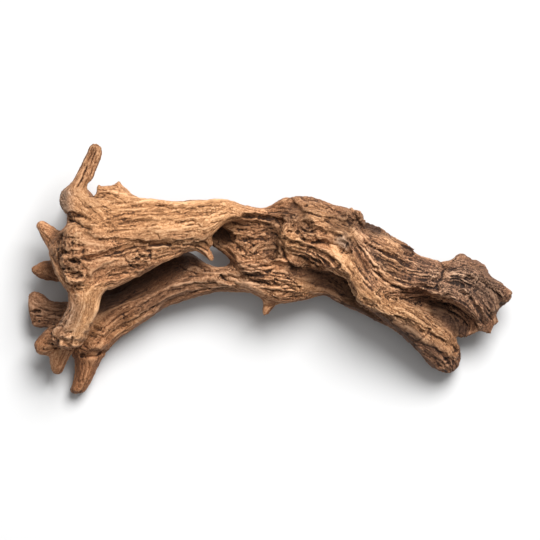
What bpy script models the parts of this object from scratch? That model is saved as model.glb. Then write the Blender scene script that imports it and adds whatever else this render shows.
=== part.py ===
"""Mopani wood: one weathered root-and-trunk piece, lying on its low points.

The piece is drawn from above on a board of 1 mm squares. x runs along the wood,
y across it and z is the height over the surface that it lies on. Every limb is a
loft between rungs, each of which crosses the limb from one edge to the other. The
lofts are fused into one skin, and strokes then carve its folds, cracks and hollows.
"""
import math

import bmesh
import bpy
import numpy as np
from mathutils import Matrix

LENGTH = 0.484            # over all, from the flat root stub to the tip of the butt, m
BOARD_LENGTH = 484.0      # the same length on the board, in board mm
MM = LENGTH / BOARD_LENGTH
RING = 64                 # points round a limb
RUNG_STEP = 4.0           # board mm between the loops of a loft
RIPPLES = ((5, 1.2), (9, 1.0), (14, 0.7))   # ridges round a limb and their heights in board mm
ROUND_POWER = 2.3         # superellipse power of a round limb's section
FLAT_POWER = 3.4          # superellipse power of a flat-topped limb's section
CAP_TURNS = (30, 55, 75)  # degrees round a limb's end at which it has a loop
CAP_LENGTH = 0.4          # length of a limb's round end, as a share of its half thickness
COARSE_VOXEL = 1.8        # board mm
FINE_VOXEL = 1.5          # board mm
SWELLING = 0.6            # board mm given back to the skin after it is smoothed
STRAY = 0.6               # board mm by which strokes stray from their paths
SOLID_TRIANGLES = 11000
WOOD_COLOUR = (0.36, 0.19, 0.09, 1.0)

# Limbs seen from above. A rung is (x, y of one edge, x, y of the other edge, z of its middle, thickness).
LIMBS = {
    "crown_and_front_leg": [
        (62, 207, 87, 207, 86, 30), (60.5, 198, 104, 199, 82, 46), (66, 188, 116, 188, 80, 62),
        (73, 180, 120, 178, 76, 84), (62, 168, 120, 166, 72, 98), (51, 152, 120, 154, 70, 104),
        (54, 139, 118, 140, 72, 98), (59, 124, 112, 128, 76, 82), (67.5, 113, 107, 115, 80, 60),
        (71, 102, 100, 103, 84, 44), (67, 89, 98, 90, 83, 38), (58.5, 76, 93, 78, 79, 36),
        (53, 66, 88, 68, 74, 36), (55, 56, 82, 57, 70, 32),
    ],
    "upper_arm": [
        (80, 203, 80, 118, 78, 66), (104, 203, 108, 112, 80, 60), (131, 202, 133, 122, 82, 54),
        (150, 200, 153, 133, 84, 50), (175, 198.5, 176, 144, 85, 45), (200, 199.4, 196, 154, 84, 40),
        (218, 200.2, 209, 162, 83, 36), (232, 197.6, 226, 178, 79, 34), (246, 193, 243, 180, 76, 34),
        (264, 190.4, 262, 178, 72, 38), (288, 189, 288, 168, 70, 44),
    ],
    "centre_plank": [
        (206, 180, 210, 157, 44, 22), (217, 184, 218, 151, 47, 28), (226, 186, 228, 144, 50, 34),
        (234, 187, 237, 130, 53, 42), (246, 188, 246, 113, 56, 50), (262, 190, 262, 104, 57, 56),
        (280, 192, 280, 98, 57, 60), (300, 196, 300, 100, 56, 56), (312, 192, 312, 105, 52, 44),
    ],
    "lower_arm": [
        (296, 136, 286, 98, 48, 46), (262, 138, 258, 106, 47, 42), (240, 138, 240, 109.2, 46, 38),
        (219, 132, 219, 109, 44, 34), (203, 138, 201, 105, 42, 36), (189, 147, 184, 100, 40, 40),
        (165, 143, 166, 94, 38, 42), (140, 131, 150, 82, 36, 44), (117, 119, 132, 71, 34, 44),
        (97, 106, 118, 62, 32, 44), (80, 80, 108, 51, 28, 40), (70, 53, 101, 41, 23, 34),
        (75, 38, 97, 33, 18, 31), (73.5, 21, 91, 20, 14, 30), (69, 8.5, 85, 9.5, 12, 27),
    ],
    "fan_stub": [
        (94, 98, 92, 62, 33, 34), (72, 97, 72, 64, 32, 26), (56, 97, 58, 70, 31, 22),
        (49, 99, 47, 72.5, 30, 20), (42, 105.5, 38, 72.5, 30, 19), (35, 108.5, 32.5, 74, 30, 17),
        (29, 107, 30, 84, 30, 14),
    ],
    "middle_foot": [
        (50, 64, 78, 60, 46, 26), (50, 47, 70, 46, 40, 25), (50, 37, 65.5, 38, 36, 22),
        (51.5, 28, 60.5, 27, 31, 17),
    ],
    "left_knob": [
        (68, 74, 68, 50, 50, 28), (50, 73, 54, 49, 47, 25), (41, 65, 46, 46, 44, 23),
        (35, 58.5, 39, 46, 43, 19),
    ],
    "pointed_stub": [
        (64, 141, 64, 118, 42, 27), (53, 139, 54, 120, 42, 25), (44, 139, 46, 120.5, 42, 21),
        (37, 135.5, 39, 123, 42, 16), (31, 132, 32, 127, 42, 9),
    ],
    "left_stub": [
        (76, 154, 58, 140, 64, 50), (64, 164, 49, 152, 64, 36), (57, 170, 43, 161, 65, 24),
        (51, 174.5, 40, 167.5, 66, 17), (43.5, 179, 36.5, 174, 67, 12),
    ],
    "horn": [
        (91.5, 254.6, 102.6, 250.4, 100, 15), (88, 247, 102, 243, 98, 15), (84, 238, 98.6, 235, 96, 16),
        (78, 226, 93.6, 223, 94, 18), (72, 216, 88.5, 213, 92, 20), (64, 209, 88, 204, 88, 28),
        (61, 199, 96, 194, 84, 36),
    ],
    "broken_plate": [
        (97.5, 215.5, 97.5, 194, 86, 15), (103, 213, 103, 192, 86, 18), (113, 214, 114, 190, 86, 20),
        (122, 213, 124, 188, 85, 22), (131, 205, 133, 186, 84, 28), (142, 200, 143, 184, 84, 30),
    ],
    "hump_and_trunk": [
        (267, 192, 270, 168, 68, 26), (274, 195.5, 273, 146, 68, 46), (282.5, 200, 281, 142, 67, 66),
        (296, 201.8, 294, 138, 66, 78), (310, 202.6, 312, 134, 64, 84), (330, 195.6, 328, 124, 62, 86),
        (348, 189, 344, 114, 60, 84), (365, 177.5, 362, 98, 58, 80), (384, 168.5, 382, 86, 55, 76),
        (400, 156.5, 402, 82, 52, 74), (418, 144, 424, 82, 50, 72), (435, 138.2, 440, 72, 48, 70),
        (450, 137.4, 452, 63.5, 46, 66), (462, 145.4, 465, 61, 44, 60), (477, 134.6, 479, 69.5, 43, 52),
        (490, 124.2, 490, 79, 42, 40), (502, 116.5, 499, 90.5, 42, 28), (511.5, 108, 508.5, 99, 42, 16),
    ],
    "under_body": [
        (274, 144, 268, 97, 46, 44), (294, 146, 288, 99, 44, 44), (312, 144, 308, 101, 42, 42),
        (330, 136, 326, 105, 40, 42), (348, 126, 338, 98, 40, 42), (366, 116, 353, 91, 42, 42),
        (386, 106, 376, 80, 42, 42), (404, 94, 397, 71, 42, 38),
    ],
    "right_leg": [
        (322, 166, 302, 138, 72, 36), (338, 156, 319, 130, 76, 42), (353, 146, 336, 128, 78, 44),
        (364, 137, 348, 121, 78, 44), (374, 126, 353, 109, 76, 46), (386, 115, 361, 97, 73, 46),
        (401, 103, 379, 84.5, 67, 46), (418, 92.5, 400, 67.5, 60, 44), (437, 77.5, 418, 50.5, 50, 42),
        (453.5, 63.5, 430, 37, 38, 38), (460.5, 50, 440, 29, 28, 35), (460, 38, 447, 27, 23, 28),
    ],
}

# Roots and stubs that leave the board's plane: (x, y, z, radius) along the middle.
ROOTS = {
    "twig": [(272, 104, 46, 9), (268, 94, 47, 5.5), (265, 87, 48, 3.4)],
    "drip": [(186, 155.5, 82, 8.5), (198, 156.5, 84, 7.5), (205.5, 150, 83, 5.6), (209, 145, 82, 4.2),
             (212, 140.5, 81, 3)],
    "lip": [(188, 163, 88, 8), (202, 162, 88, 6.5), (208, 159, 86, 4.5), (211.5, 156.5, 85, 2.6)],
    "back_root": [(90, 184, 50, 20), (84, 192, 26, 15), (79, 200, 8, 13), (78, 201, 2, 11)],
    "butt_heel": [(466, 116, 34, 26), (472, 120, 16, 20), (475, 122, 5, 14)],
    "thorn": [(120, 207, 84, 7), (119, 213.5, 84, 3.6), (118.6, 217.8, 84, 2.5)],
    "plate_corner": [(100, 206, 86, 7), (98.2, 212, 86, 3.4), (97.6, 215.5, 86, 1.9)],
    "trunk_knob": [(350, 170, 84, 14), (354, 179, 86, 10.5)],
    "trunk_spike": [(392, 154, 62, 8), (405, 153, 64, 4), (414.5, 151, 64, 2)],
    "butt_corner": [(474, 124, 46, 12), (479, 130, 46, 4)],
    "butt_spur": [(484, 80, 42, 9), (487.5, 72, 42, 5.5), (489.5, 67.5, 42, 3)],
    "butt_tooth": [(486, 84, 42, 8), (493, 80.5, 42, 5), (498, 78.5, 42, 2.6)],
}

# These limbs lie over hollows in the others and are fused on after those are cut.
FRONT_LIMBS = ("crown_and_front_leg", "upper_arm", "horn", "broken_plate", "left_stub", "right_leg", "drip",
               "lip", "thorn", "plate_corner")

# These limbs have flat tops and sharp edges.
FLAT_LIMBS = ("crown_and_front_leg", "upper_arm", "right_leg")

# Hollows cut out of the limbs at the back, each a round worm-hole along (x, y, z, radius).
BACK_HOLLOWS = {
    "under_ledge": [(290, 128, 88, 5), (300, 127, 83, 9), (311, 124, 77, 13), (322, 119, 72, 16),
                    (336, 114, 70, 18), (350, 104, 66, 16), (364, 92, 62, 12), (378, 82, 58, 8)],
    "under_arm_end": [(204, 168, 56, 8), (213, 165.5, 54, 12), (223, 163.5, 60, 10), (232, 162.3, 67, 6.5),
                      (237, 161.5, 71, 3.5)],
    "behind_leg": [(396, 104, 94, 6), (411, 99, 86, 12), (427, 91, 74, 17), (443, 82, 66, 21),
                   (460, 66, 62, 24)],
    "arm_scoop": [(96, 90, 54, 6), (110, 105, 50, 15), (130, 119, 52, 20), (152, 131, 56, 22),
                  (174, 141, 62, 18), (190, 147, 72, 9)],
    "arm_gap": [(105, 103, 34, 4), (113, 111, 32, 8), (124, 118, 34, 8), (134, 123, 38, 4)],
    "arm_gap_end": [(148, 131, 42, 4), (158, 134.5, 41, 7), (167, 136.5, 43, 4)],
}

# Hollows cut out of the whole.
FRONT_HOLLOWS = {
    "leg_recess": [(398, 74, 48, 4), (408, 66, 48, 8), (416, 60, 46, 8), (424, 52, 42, 4)],
    "crown_recess": [(54, 164, 98, 4), (60, 160, 104, 7), (66, 152, 111, 6)],
    "arm_knot": [(128, 139, 112, 3), (134, 136, 111, 4), (141, 141, 111, 5), (149, 145, 112, 4)],
    "butt_notch": [(500.5, 88.5, 24, 3), (500.5, 88.5, 72, 3)],
    "butt_notch_below": [(497, 72.5, 24, 2.4), (497, 72.5, 72, 2.4)],
    "plate_dip_left": [(105.5, 217, 60, 2.8), (105.5, 217, 112, 2.8)],
    "plate_dip_right": [(111.5, 216.8, 60, 3), (111.5, 216.8, 112, 3)],
    "plate_notch_left": [(90.9, 206.8, 24, 3.2), (90.9, 206.8, 122, 3.2)],
    "plate_notch_right": [(94.2, 206.8, 24, 3.2), (94.2, 206.8, 122, 3.2)],
    "plate_notch_mouth": [(92.4, 214, 24, 5), (92.4, 214, 122, 5)],
}

# Strokes on the side seen from above: (kind, width, height, path). A cut sinks the skin along the path and a
# swell lifts it. A ledge drops the skin on the right-hand side of the path and leaves its left-hand side.
STROKES = [
    # crown and horn
    ("cut", 5, 4, [(68, 182), (76, 184), (88, 181)]),
    ("cut", 4, 3.5, [(70, 179), (78, 177), (90, 171)]),
    ("cut", 9, 3, [(92, 183), (115, 186), (140, 189), (175, 190), (205, 187)]),
    ("ledge", 6, 3.5, [(84, 172), (92, 165), (104, 161), (122, 161), (152, 158)]),
    ("ledge", 8, 4, [(92, 142), (104, 146), (118, 149), (130, 153), (150, 155), (176, 158)]),
    ("cut", 3.5, 3, [(64, 151), (61, 142), (60, 130), (65, 119)]),
    ("cut", 3.5, 3, [(63, 148), (72, 147), (85, 149)]),
    ("cut", 3, 3, [(71, 140), (80, 138)]),
    ("cut", 3.5, 3.5, [(64, 132), (71, 131)]),
    ("cut", 4, 3.5, [(69, 126), (81, 125)]),
    ("cut", 3, 3, [(72, 159), (76, 155), (84, 154)]),
    ("cut", 3.5, 3, [(85, 143), (93, 141)]),
    ("cut", 3, 3, [(84, 133), (88, 128), (88, 122)]),
    ("swell", 7, 3, [(66, 142), (78, 143)]),
    ("swell", 6, 3, [(70, 120), (84, 119)]),
    ("swell", 5, 2.5, [(74, 133), (80, 132)]),
    ("ledge", 5, 4, [(91, 120), (84, 114), (74, 112), (67, 116)]),
    ("cut", 4, 4, [(73, 110), (82, 110)]),
    # front leg and the feet behind it
    ("cut", 5, 3, [(56, 57), (62, 60), (70, 57), (76, 60), (82, 58)]),
    ("cut", 4, 3, [(57, 62), (56, 52)]),
    ("cut", 3, 4, [(35, 88.5), (38, 88.5)]),
    ("cut", 3.5, 2, [(92, 74), (98, 71), (103, 70)]),
    ("cut", 3.5, 2, [(88, 66), (95, 62), (100, 61)]),
    ("swell", 5, 3, [(80, 50), (94, 52), (106, 57)]),
    ("cut", 3.5, 3, [(82, 45), (93, 45), (104, 48)]),
    ("swell", 4, 2.5, [(59, 62), (68, 64), (77, 61)]),
    # lower arm: scooped above its crest
    ("swell", 8, 3, [(220, 125), (200, 120), (180, 115), (162, 106), (146, 95), (130, 83)]),
    ("cut", 4, 2.5, [(104, 62), (140, 84), (170, 99), (200, 109), (236, 113)]),
    ("cut", 4, 2.5, [(116, 74), (150, 97), (184, 111), (214, 116)]),
    ("cut", 4, 3, [(196, 128), (210, 128), (222, 127)]),
    # upper arm
    ("cut", 3.5, 5, [(90, 141), (105, 146), (120, 151), (135, 155), (150, 156.5), (175, 158)]),
    ("cut", 4, 3, [(96, 126), (112, 130), (130, 131), (146, 134)]),
    ("cut", 4, 3, [(99, 120), (115, 124), (136, 127)]),
    ("cut", 4, 3, [(150, 147), (165, 150), (179, 152)]),
    ("cut", 4, 3, [(86, 112), (94, 119), (104, 131), (116, 137)]),
    ("cut", 5, 3, [(104, 174), (130, 177), (160, 176), (196, 176)]),
    ("cut", 4, 2.5, [(112, 196), (140, 195), (170, 193)]),
    # arm's end, plank and hollow
    ("ledge", 6, 4, [(176, 158), (190, 159), (204, 157), (210, 154)]),
    ("cut", 3.5, 7, [(245, 183), (256, 184), (266, 182), (276, 181), (279, 175)]),
    ("cut", 6, 7, [(279, 180), (276, 170), (273, 158), (274, 148), (271, 143)]),
    ("cut", 4, 2.5, [(240, 171), (256, 168), (271, 167)]),
    ("cut", 4, 3, [(246, 160), (262, 161), (273, 160)]),
    ("cut", 4, 2.5, [(236, 153), (250, 151), (268, 150)]),
    ("cut", 4, 2.5, [(240, 143), (254, 141), (268, 143)]),
    ("swell", 4, 2.5, [(251, 149), (259, 155)]),
    ("ledge", 6, 4, [(222, 125), (233, 125), (246, 124), (258, 127), (268, 131)]),
    ("cut", 4, 3, [(222, 124), (230, 119), (238, 116)]),
    ("cut", 4, 2.5, [(250, 118), (274, 116), (296, 112), (312, 106)]),
    ("cut", 4, 2.5, [(266, 108), (284, 107), (300, 103)]),
    ("ledge", 9, 7, [(268, 136), (278, 138), (287, 137), (296, 134)]),
    # hump
    ("cut", 13, 8, [(276, 186), (288, 188), (297, 189), (301, 184)]),
    ("ledge", 8, 5, [(295, 199), (301, 195), (304, 189), (304, 183)]),
    ("swell", 4, 3, [(282, 181), (293, 181), (301, 182), (306, 181.5), (310, 177), (318, 174),
                     (330, 171), (342, 168)]),
    ("cut", 8, 8, [(306, 176), (304, 172), (298, 171)]),
    ("cut", 4, 4, [(306, 179), (310, 173), (313, 169)]),
    ("ledge", 4, 4, [(301, 172), (309, 169), (318, 170), (328, 167), (338, 164)]),
    ("swell", 10, 4, [(286, 160), (294, 157)]),
    ("ledge", 4, 5, [(281, 150), (281, 158), (283, 163), (288, 167)]),
    ("cut", 4, 5, [(289, 167), (295, 165.5), (301, 166)]),
    ("cut", 3, 5, [(285, 160), (292, 157.5), (300, 155)]),
    ("ledge", 4, 5, [(300, 166), (304, 163), (308, 160), (314, 158), (320, 159), (325, 160)]),
    ("cut", 7, 7, [(317, 158), (326, 156), (336, 152), (344, 146)]),
    ("ledge", 5, 4, [(336, 162), (343, 160), (347, 157), (350, 151), (350, 144)]),
    ("cut", 7, 6, [(330, 179), (338, 177), (346, 175), (352, 178), (359, 177), (364, 173)]),
    ("swell", 5, 4, [(345, 186), (351, 188.5), (358, 186.5), (361, 181)]),
    ("cut", 3, 5, [(352, 187), (356, 183), (357, 180)]),
    ("cut", 4, 4, [(367, 176), (373, 173)]),
    ("cut", 3, 3, [(382, 169), (392, 165)]),
    ("cut", 3, 3, [(288, 149), (300, 147), (312, 142), (322, 133)]),
    ("cut", 3, 3, [(296, 152), (308, 149), (318, 143), (327, 136)]),
    ("cut", 3, 3, [(310, 150), (320, 147), (330, 141), (338, 133)]),
    ("cut", 6, 4, [(286, 146), (298, 141), (310, 137), (320, 132)]),
    ("cut", 3, 3, [(305, 195), (320, 192), (336, 188), (344, 184)]),
    ("cut", 3, 3, [(303, 200), (312, 199.5), (320, 197)]),
    # trunk grooves
    ("cut", 4, 5, [(350, 160), (357, 150), (361, 140), (368, 130), (374, 121)]),
    ("cut", 4, 4, [(366, 158), (380, 150), (395, 143), (409, 136)]),
    ("cut", 4, 4, [(372, 132), (382, 121), (394, 114), (410, 110), (430, 111)]),
    ("cut", 4, 3, [(378, 142), (392, 132), (408, 126), (428, 122)]),
    ("cut", 5, 4, [(390, 126), (404, 118), (420, 114), (436, 112)]),
    ("cut", 10, 8, [(386, 107), (400, 103), (414, 100.5), (430, 99.5), (446, 98)]),
    ("cut", 5, 4, [(442, 136), (442, 126), (437, 118), (437, 111)]),
    ("cut", 5, 4, [(446, 119), (457, 117), (470, 114), (480, 112)]),
    ("cut", 4, 5, [(468, 123), (474, 121)]),
    ("cut", 7, 6, [(482, 119), (490, 112), (497, 104), (500, 97)]),
    ("cut", 4, 4, [(462, 108), (472, 98), (480, 86), (484, 76)]),
    # hollow between the butt and the right leg
    ("cut", 9, 5, [(446, 96), (458, 86), (468, 74)]),
    # ledge over the dark hollow, and the crest that runs on from it down the right leg
    ("ledge", 6, 6, [(318, 132), (332, 131), (341, 129), (347, 124), (351, 117), (355, 110), (356, 104)]),
    ("ledge", 8, 5, [(350, 102), (362, 95), (378, 88), (395, 83), (412, 77), (424, 70)]),
    ("cut", 6, 4, [(390, 102), (397, 101)]),
    ("cut", 3, 3, [(429, 68), (438, 62), (448, 54), (457, 50)]),
    ("cut", 3, 2, [(420, 59), (432, 52), (442, 45), (449, 38)]),
    ("cut", 3, 2, [(424, 48), (434, 41), (442, 33)]),
]


def smooth_rows(rows, step):
    """Rows read at every step along a Catmull-Rom curve through the given ones."""
    rows = np.array(rows, float)
    padded = np.vstack([2 * rows[0] - rows[1], rows, 2 * rows[-1] - rows[-2]])
    dense = []
    for i in range(1, len(rows)):
        a, b, c, d = padded[i - 1:i + 3]
        count = max(2, math.ceil(np.linalg.norm((c - b)[:4]) / step))
        for t in np.arange(count) / count:
            dense.append(0.5 * (2 * b + (c - a) * t + (2 * a - 5 * b + 4 * c - d) * t ** 2
                                + (3 * b - a - 3 * c + d) * t ** 3))
    dense.append(rows[-1])
    return np.array(dense)


def ripple(count, angle, seed):
    """Heights of the ridges that run along a limb, a row for each of its loops."""
    along = np.arange(count)[:, None] * RUNG_STEP
    height = np.zeros((count, len(angle)))
    for i, (ridges, size) in enumerate(RIPPLES):
        drift = 0.9 * np.sin(along / 31 + seed * 2.1 + i) + 0.5 * np.sin(along / 13 + seed + 2.3 * i)
        strength = 0.75 + 0.35 * np.sin(along / 22 + 1.7 * seed + i)
        height += size * strength * np.sin(ridges * angle + drift + seed + 1.9 * i)
    return height


def limb_loops(rungs, seed, power):
    """Closed loops of points across a limb, with a round end added beyond each end rung."""
    dense = smooth_rows(rungs, RUNG_STEP)
    first = np.column_stack([dense[:, 0:2], dense[:, 4]])
    second = np.column_stack([dense[:, 2:4], dense[:, 4]])
    middle, half, rise = (first + second) / 2, (second - first) / 2, dense[:, 5] / 2
    angle = np.linspace(0, 2 * math.pi, RING, endpoint=False)
    across = np.sign(np.cos(angle)) * np.abs(np.cos(angle)) ** (2 / power)
    up = np.sign(np.sin(angle)) * np.abs(np.sin(angle)) ** (2 / power)

    width = np.linalg.norm(half, axis=1)
    ridges = ripple(len(dense), angle, seed) * np.minimum(1, np.minimum(width, rise) / 16)[:, None]

    def loop(i, shrink=1.0, shift=0.0):
        wide = across * (1 + ridges[i] / width[i]) * shrink
        high = up * (1 + ridges[i] / rise[i]) * shrink
        return middle[i] + shift + wide[:, None] * half[i] + high[:, None] * np.array([0, 0, rise[i]])

    def cap(end, inner):
        out = middle[end] - middle[inner]
        out *= CAP_LENGTH * min(rise[end], np.linalg.norm(half[end])) / np.linalg.norm(out)
        return [loop(end, math.cos(t), out * math.sin(t)) for t in np.radians(CAP_TURNS)]

    return cap(0, 1)[::-1] + [loop(i) for i in range(len(dense))] + cap(-1, -2)


def root_loops(stations):
    """Closed round loops along a root that may turn any way."""
    dense = smooth_rows(stations, RUNG_STEP)
    path, radius = dense[:, :3], dense[:, 3]
    tangent = np.gradient(path, axis=0)
    tangent /= np.linalg.norm(tangent, axis=1)[:, None]
    side = np.cross(tangent[0], (0.3, 0.5, 0.8))
    angle = np.linspace(0, 2 * math.pi, RING, endpoint=False)
    spokes = []
    for t in tangent:
        side = side - t * side.dot(t)
        side /= np.linalg.norm(side)
        spokes.append(np.cos(angle)[:, None] * side + np.sin(angle)[:, None] * np.cross(t, side))
    loops = [path[i] + spokes[i] * radius[i] for i in range(len(path))]
    for turn in np.radians(CAP_TURNS):
        tip = path[-1] + tangent[-1] * radius[-1] * 0.8 * math.sin(turn)
        loops.append(tip + spokes[-1] * radius[-1] * math.cos(turn))
    return loops


def add_loft(bm, loops):
    """Adds the loops to bm as one closed tube."""
    rows = [[bm.verts.new(p) for p in loop] for loop in loops]
    for near, far in zip(rows, rows[1:]):
        for i in range(RING):
            j = (i + 1) % RING
            bm.faces.new((near[i], near[j], far[j], far[i]))
    bm.faces.new(rows[0][::-1])
    bm.faces.new(rows[-1])


def closed_mesh(bm, name):
    bmesh.ops.recalc_face_normals(bm, faces=bm.faces)
    mesh = bpy.data.meshes.new(name)
    bm.to_mesh(mesh)
    bm.free()
    return mesh


def add_limbs(bm, front):
    """Adds the limbs and roots at the front, or all the others, as closed tubes that run into each other."""
    for seed, (name, rungs) in enumerate(LIMBS.items()):
        if (name in FRONT_LIMBS) == front:
            power = FLAT_POWER if name in FLAT_LIMBS else ROUND_POWER
            add_loft(bm, limb_loops(rungs, seed, power))
    for name, stations in ROOTS.items():
        if (name in FRONT_LIMBS) == front:
            add_loft(bm, root_loops(stations))


def hollows_mesh(hollows):
    bm = bmesh.new()
    for stations in hollows.values():
        add_loft(bm, root_loops(stations))
    return closed_mesh(bm, "hollows")


def through_modifiers(mesh, settings):
    """The mesh as the given modifiers leave it, each a pair of its type and its values by name."""
    obj = bpy.data.objects.new("work", mesh)
    bpy.context.scene.collection.objects.link(obj)
    for kind, values in settings:
        modifier = obj.modifiers.new(kind.lower(), kind)
        for name, value in values.items():
            setattr(modifier, name, value)
    graph = bpy.context.evaluated_depsgraph_get()
    made = bpy.data.meshes.new_from_object(obj.evaluated_get(graph))
    bpy.data.objects.remove(obj)
    return made


def remesh(voxel):
    return ("REMESH", {"mode": "VOXEL", "voxel_size": voxel, "adaptivity": 0.0})


def read_points(mesh):
    points = np.empty(len(mesh.vertices) * 3, np.float32)
    mesh.vertices.foreach_get("co", points)
    return points.reshape(-1, 3).astype(float)


def write_points(mesh, points):
    mesh.vertices.foreach_set("co", points.astype(np.float32).ravel())
    mesh.update()


def read_normals(mesh):
    normals = np.empty(len(mesh.vertices) * 3, np.float32)
    mesh.vertex_normals.foreach_get("vector", normals)
    return normals.reshape(-1, 3).astype(float)


def seen_from_above(points, cell=2.0, depth=7.0):
    """1 for points on the top of the skin, falling to 0 for those well below it."""
    low = points.min(axis=0)
    across = ((points[:, :2] - low[:2]) / cell).astype(int) + 1
    tops = np.full(across.max(axis=0) + 2, -1e9)
    np.maximum.at(tops, (across[:, 0], across[:, 1]), points[:, 2])
    below = tops[across[:, 0], across[:, 1]] - points[:, 2]
    return np.clip(2 - below / depth, 0, 1)


def along_path(points, path):
    """(distance to the path, distance to its right-hand side) of each point, on the board."""
    nearest = np.full(len(points), 1e9)
    right = np.zeros(len(points))
    for a, b in zip(path, path[1:]):
        run = b - a
        t = np.clip((points - a) @ run / run.dot(run), 0, 1)
        gap = points - (a + t[:, None] * run)
        distance = np.hypot(gap[:, 0], gap[:, 1])
        closer = distance < nearest
        nearest[closer] = distance[closer]
        side = (gap[:, 0] * run[1] - gap[:, 1] * run[0]) / np.linalg.norm(run)
        right[closer] = side[closer]
    return nearest, right


def stroke_height(kind, width, height, distance, right):
    """How far a stroke moves points at that distance from its path."""
    share = np.clip(1 - (distance / width) ** 2, 0, 1)
    if kind == "cut":
        return -height * share ** 1.5
    if kind == "swell":
        return height * share ** 2
    step = 1 / (1 + np.exp(-3.5 * right))
    return -height * step * np.clip(1 - distance / width, 0, 1) ** 0.8 + 0.2 * height * (1 - step) * share


def wobbled(places, stray):
    """The places on the board, each moved a little, so that strokes get ragged edges."""
    x, y = places[:, 0], places[:, 1]
    shift_x = np.sin(y / 1.7 + 2 * np.sin(x / 5.3)) + 0.7 * np.sin(x / 2.3 + y / 3.1)
    shift_y = np.sin(x / 2.1 + 2 * np.sin(y / 4.7)) + 0.7 * np.sin(y / 2.6 - x / 3.7)
    return places + stray * np.column_stack([shift_x, shift_y])


def carve(mesh, strokes, stray):
    """Moves the skin's points as the strokes say, which stray that much from their paths."""
    points, normals = read_points(mesh), read_normals(mesh)
    push = normals + (0, 0, 1)
    push /= np.maximum(np.linalg.norm(push, axis=1), 0.3)[:, None]
    seen = seen_from_above(points)
    places = wobbled(points[:, :2], stray)
    moved = points.copy()
    for kind, width, height, corners in strokes:
        path = smooth_rows(corners, 3.0)
        inside = ((places > path.min(axis=0) - width) & (places < path.max(axis=0) + width)).all(axis=1)
        near = np.nonzero(inside & (seen > 0))[0]
        distance, right = along_path(places[near], path)
        lift = stroke_height(kind, width, height, distance, right) * seen[near]
        moved[near] += push[near] * lift[:, None]
    write_points(mesh, moved)


def cut_at_floor(bm):
    """Cuts off all that is below the surface it lies on, which leaves flat spots at z = 0."""
    parts = bm.verts[:] + bm.edges[:] + bm.faces[:]
    made = bmesh.ops.bisect_plane(bm, geom=parts, dist=1e-5, plane_co=(0, 0, 0), plane_no=(0, 0, -1),
                                  clear_outer=True)
    rim = [e for e in made["geom_cut"] if isinstance(e, bmesh.types.BMEdge) and e.is_boundary]
    bmesh.ops.holes_fill(bm, edges=rim, sides=0)
    bmesh.ops.triangulate(bm, faces=[f for f in bm.faces if len(f.verts) > 3])


def wood_material():
    material = bpy.data.materials.new("wood")
    material.use_nodes = True
    shader = material.node_tree.nodes["Principled BSDF"]
    shader.inputs["Base Color"].default_value = WOOD_COLOUR
    shader.inputs["Roughness"].default_value = 0.85
    shader.inputs["Metallic"].default_value = 0.0
    return material


def clear_scene():
    for obj in list(bpy.data.objects):
        bpy.data.objects.remove(obj)


def swell(mesh, amount):
    write_points(mesh, read_points(mesh) + read_normals(mesh) * amount)


def hollowed(mesh, hollows):
    """The mesh without the hollows, which are fused into one cutter first."""
    cutter = bpy.data.objects.new("cutter", through_modifiers(hollows_mesh(hollows), [remesh(COARSE_VOXEL)]))
    bpy.context.scene.collection.objects.link(cutter)
    cut = ("BOOLEAN", {"operation": "DIFFERENCE", "solver": "MANIFOLD", "object": cutter})
    made = through_modifiers(mesh, [cut])
    bpy.data.objects.remove(cutter)
    return made


def wood_skin(voxel):
    """The carved skin at a voxel size, on the board."""
    smooth = ("SMOOTH", {"factor": 0.5, "iterations": 3})
    bm = bmesh.new()
    add_limbs(bm, front=False)
    back = hollowed(through_modifiers(closed_mesh(bm, "back"), [remesh(COARSE_VOXEL)]), BACK_HOLLOWS)
    bm = bmesh.new()
    add_limbs(bm, front=True)
    bm.from_mesh(through_modifiers(back, [remesh(COARSE_VOXEL)]))
    skin = through_modifiers(closed_mesh(bm, "skin"), [remesh(COARSE_VOXEL), smooth])
    swell(skin, SWELLING)
    skin = through_modifiers(hollowed(skin, FRONT_HOLLOWS), [remesh(COARSE_VOXEL), smooth, remesh(voxel)])
    carve(skin, STROKES, STRAY)
    return through_modifiers(skin, [remesh(voxel)])


def main():
    clear_scene()
    skin = wood_skin(FINE_VOXEL)
    ratio = SOLID_TRIANGLES / (2 * len(skin.polygons))
    skin = through_modifiers(skin, [("DECIMATE", {"ratio": ratio, "use_collapse_triangulate": True})])
    bm = bmesh.new()
    bm.from_mesh(skin)
    cut_at_floor(bm)
    low = [min(v.co[i] for v in bm.verts) for i in range(2)]
    high = [max(v.co[i] for v in bm.verts) for i in range(2)]
    middle = Matrix.Translation((-(low[0] + high[0]) / 2, -(low[1] + high[1]) / 2, 0))
    bmesh.ops.transform(bm, matrix=Matrix.Scale(MM, 4) @ middle, verts=bm.verts)
    mesh = closed_mesh(bm, "wood")
    mesh.materials.append(wood_material())
    wood = bpy.data.objects.new("wood", mesh)
    bpy.context.scene.collection.objects.link(wood)


if __name__ == "__main__":
    main()
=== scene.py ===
"""Mopani wood, dressed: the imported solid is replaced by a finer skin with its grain, cracks and colours."""
import math

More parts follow.
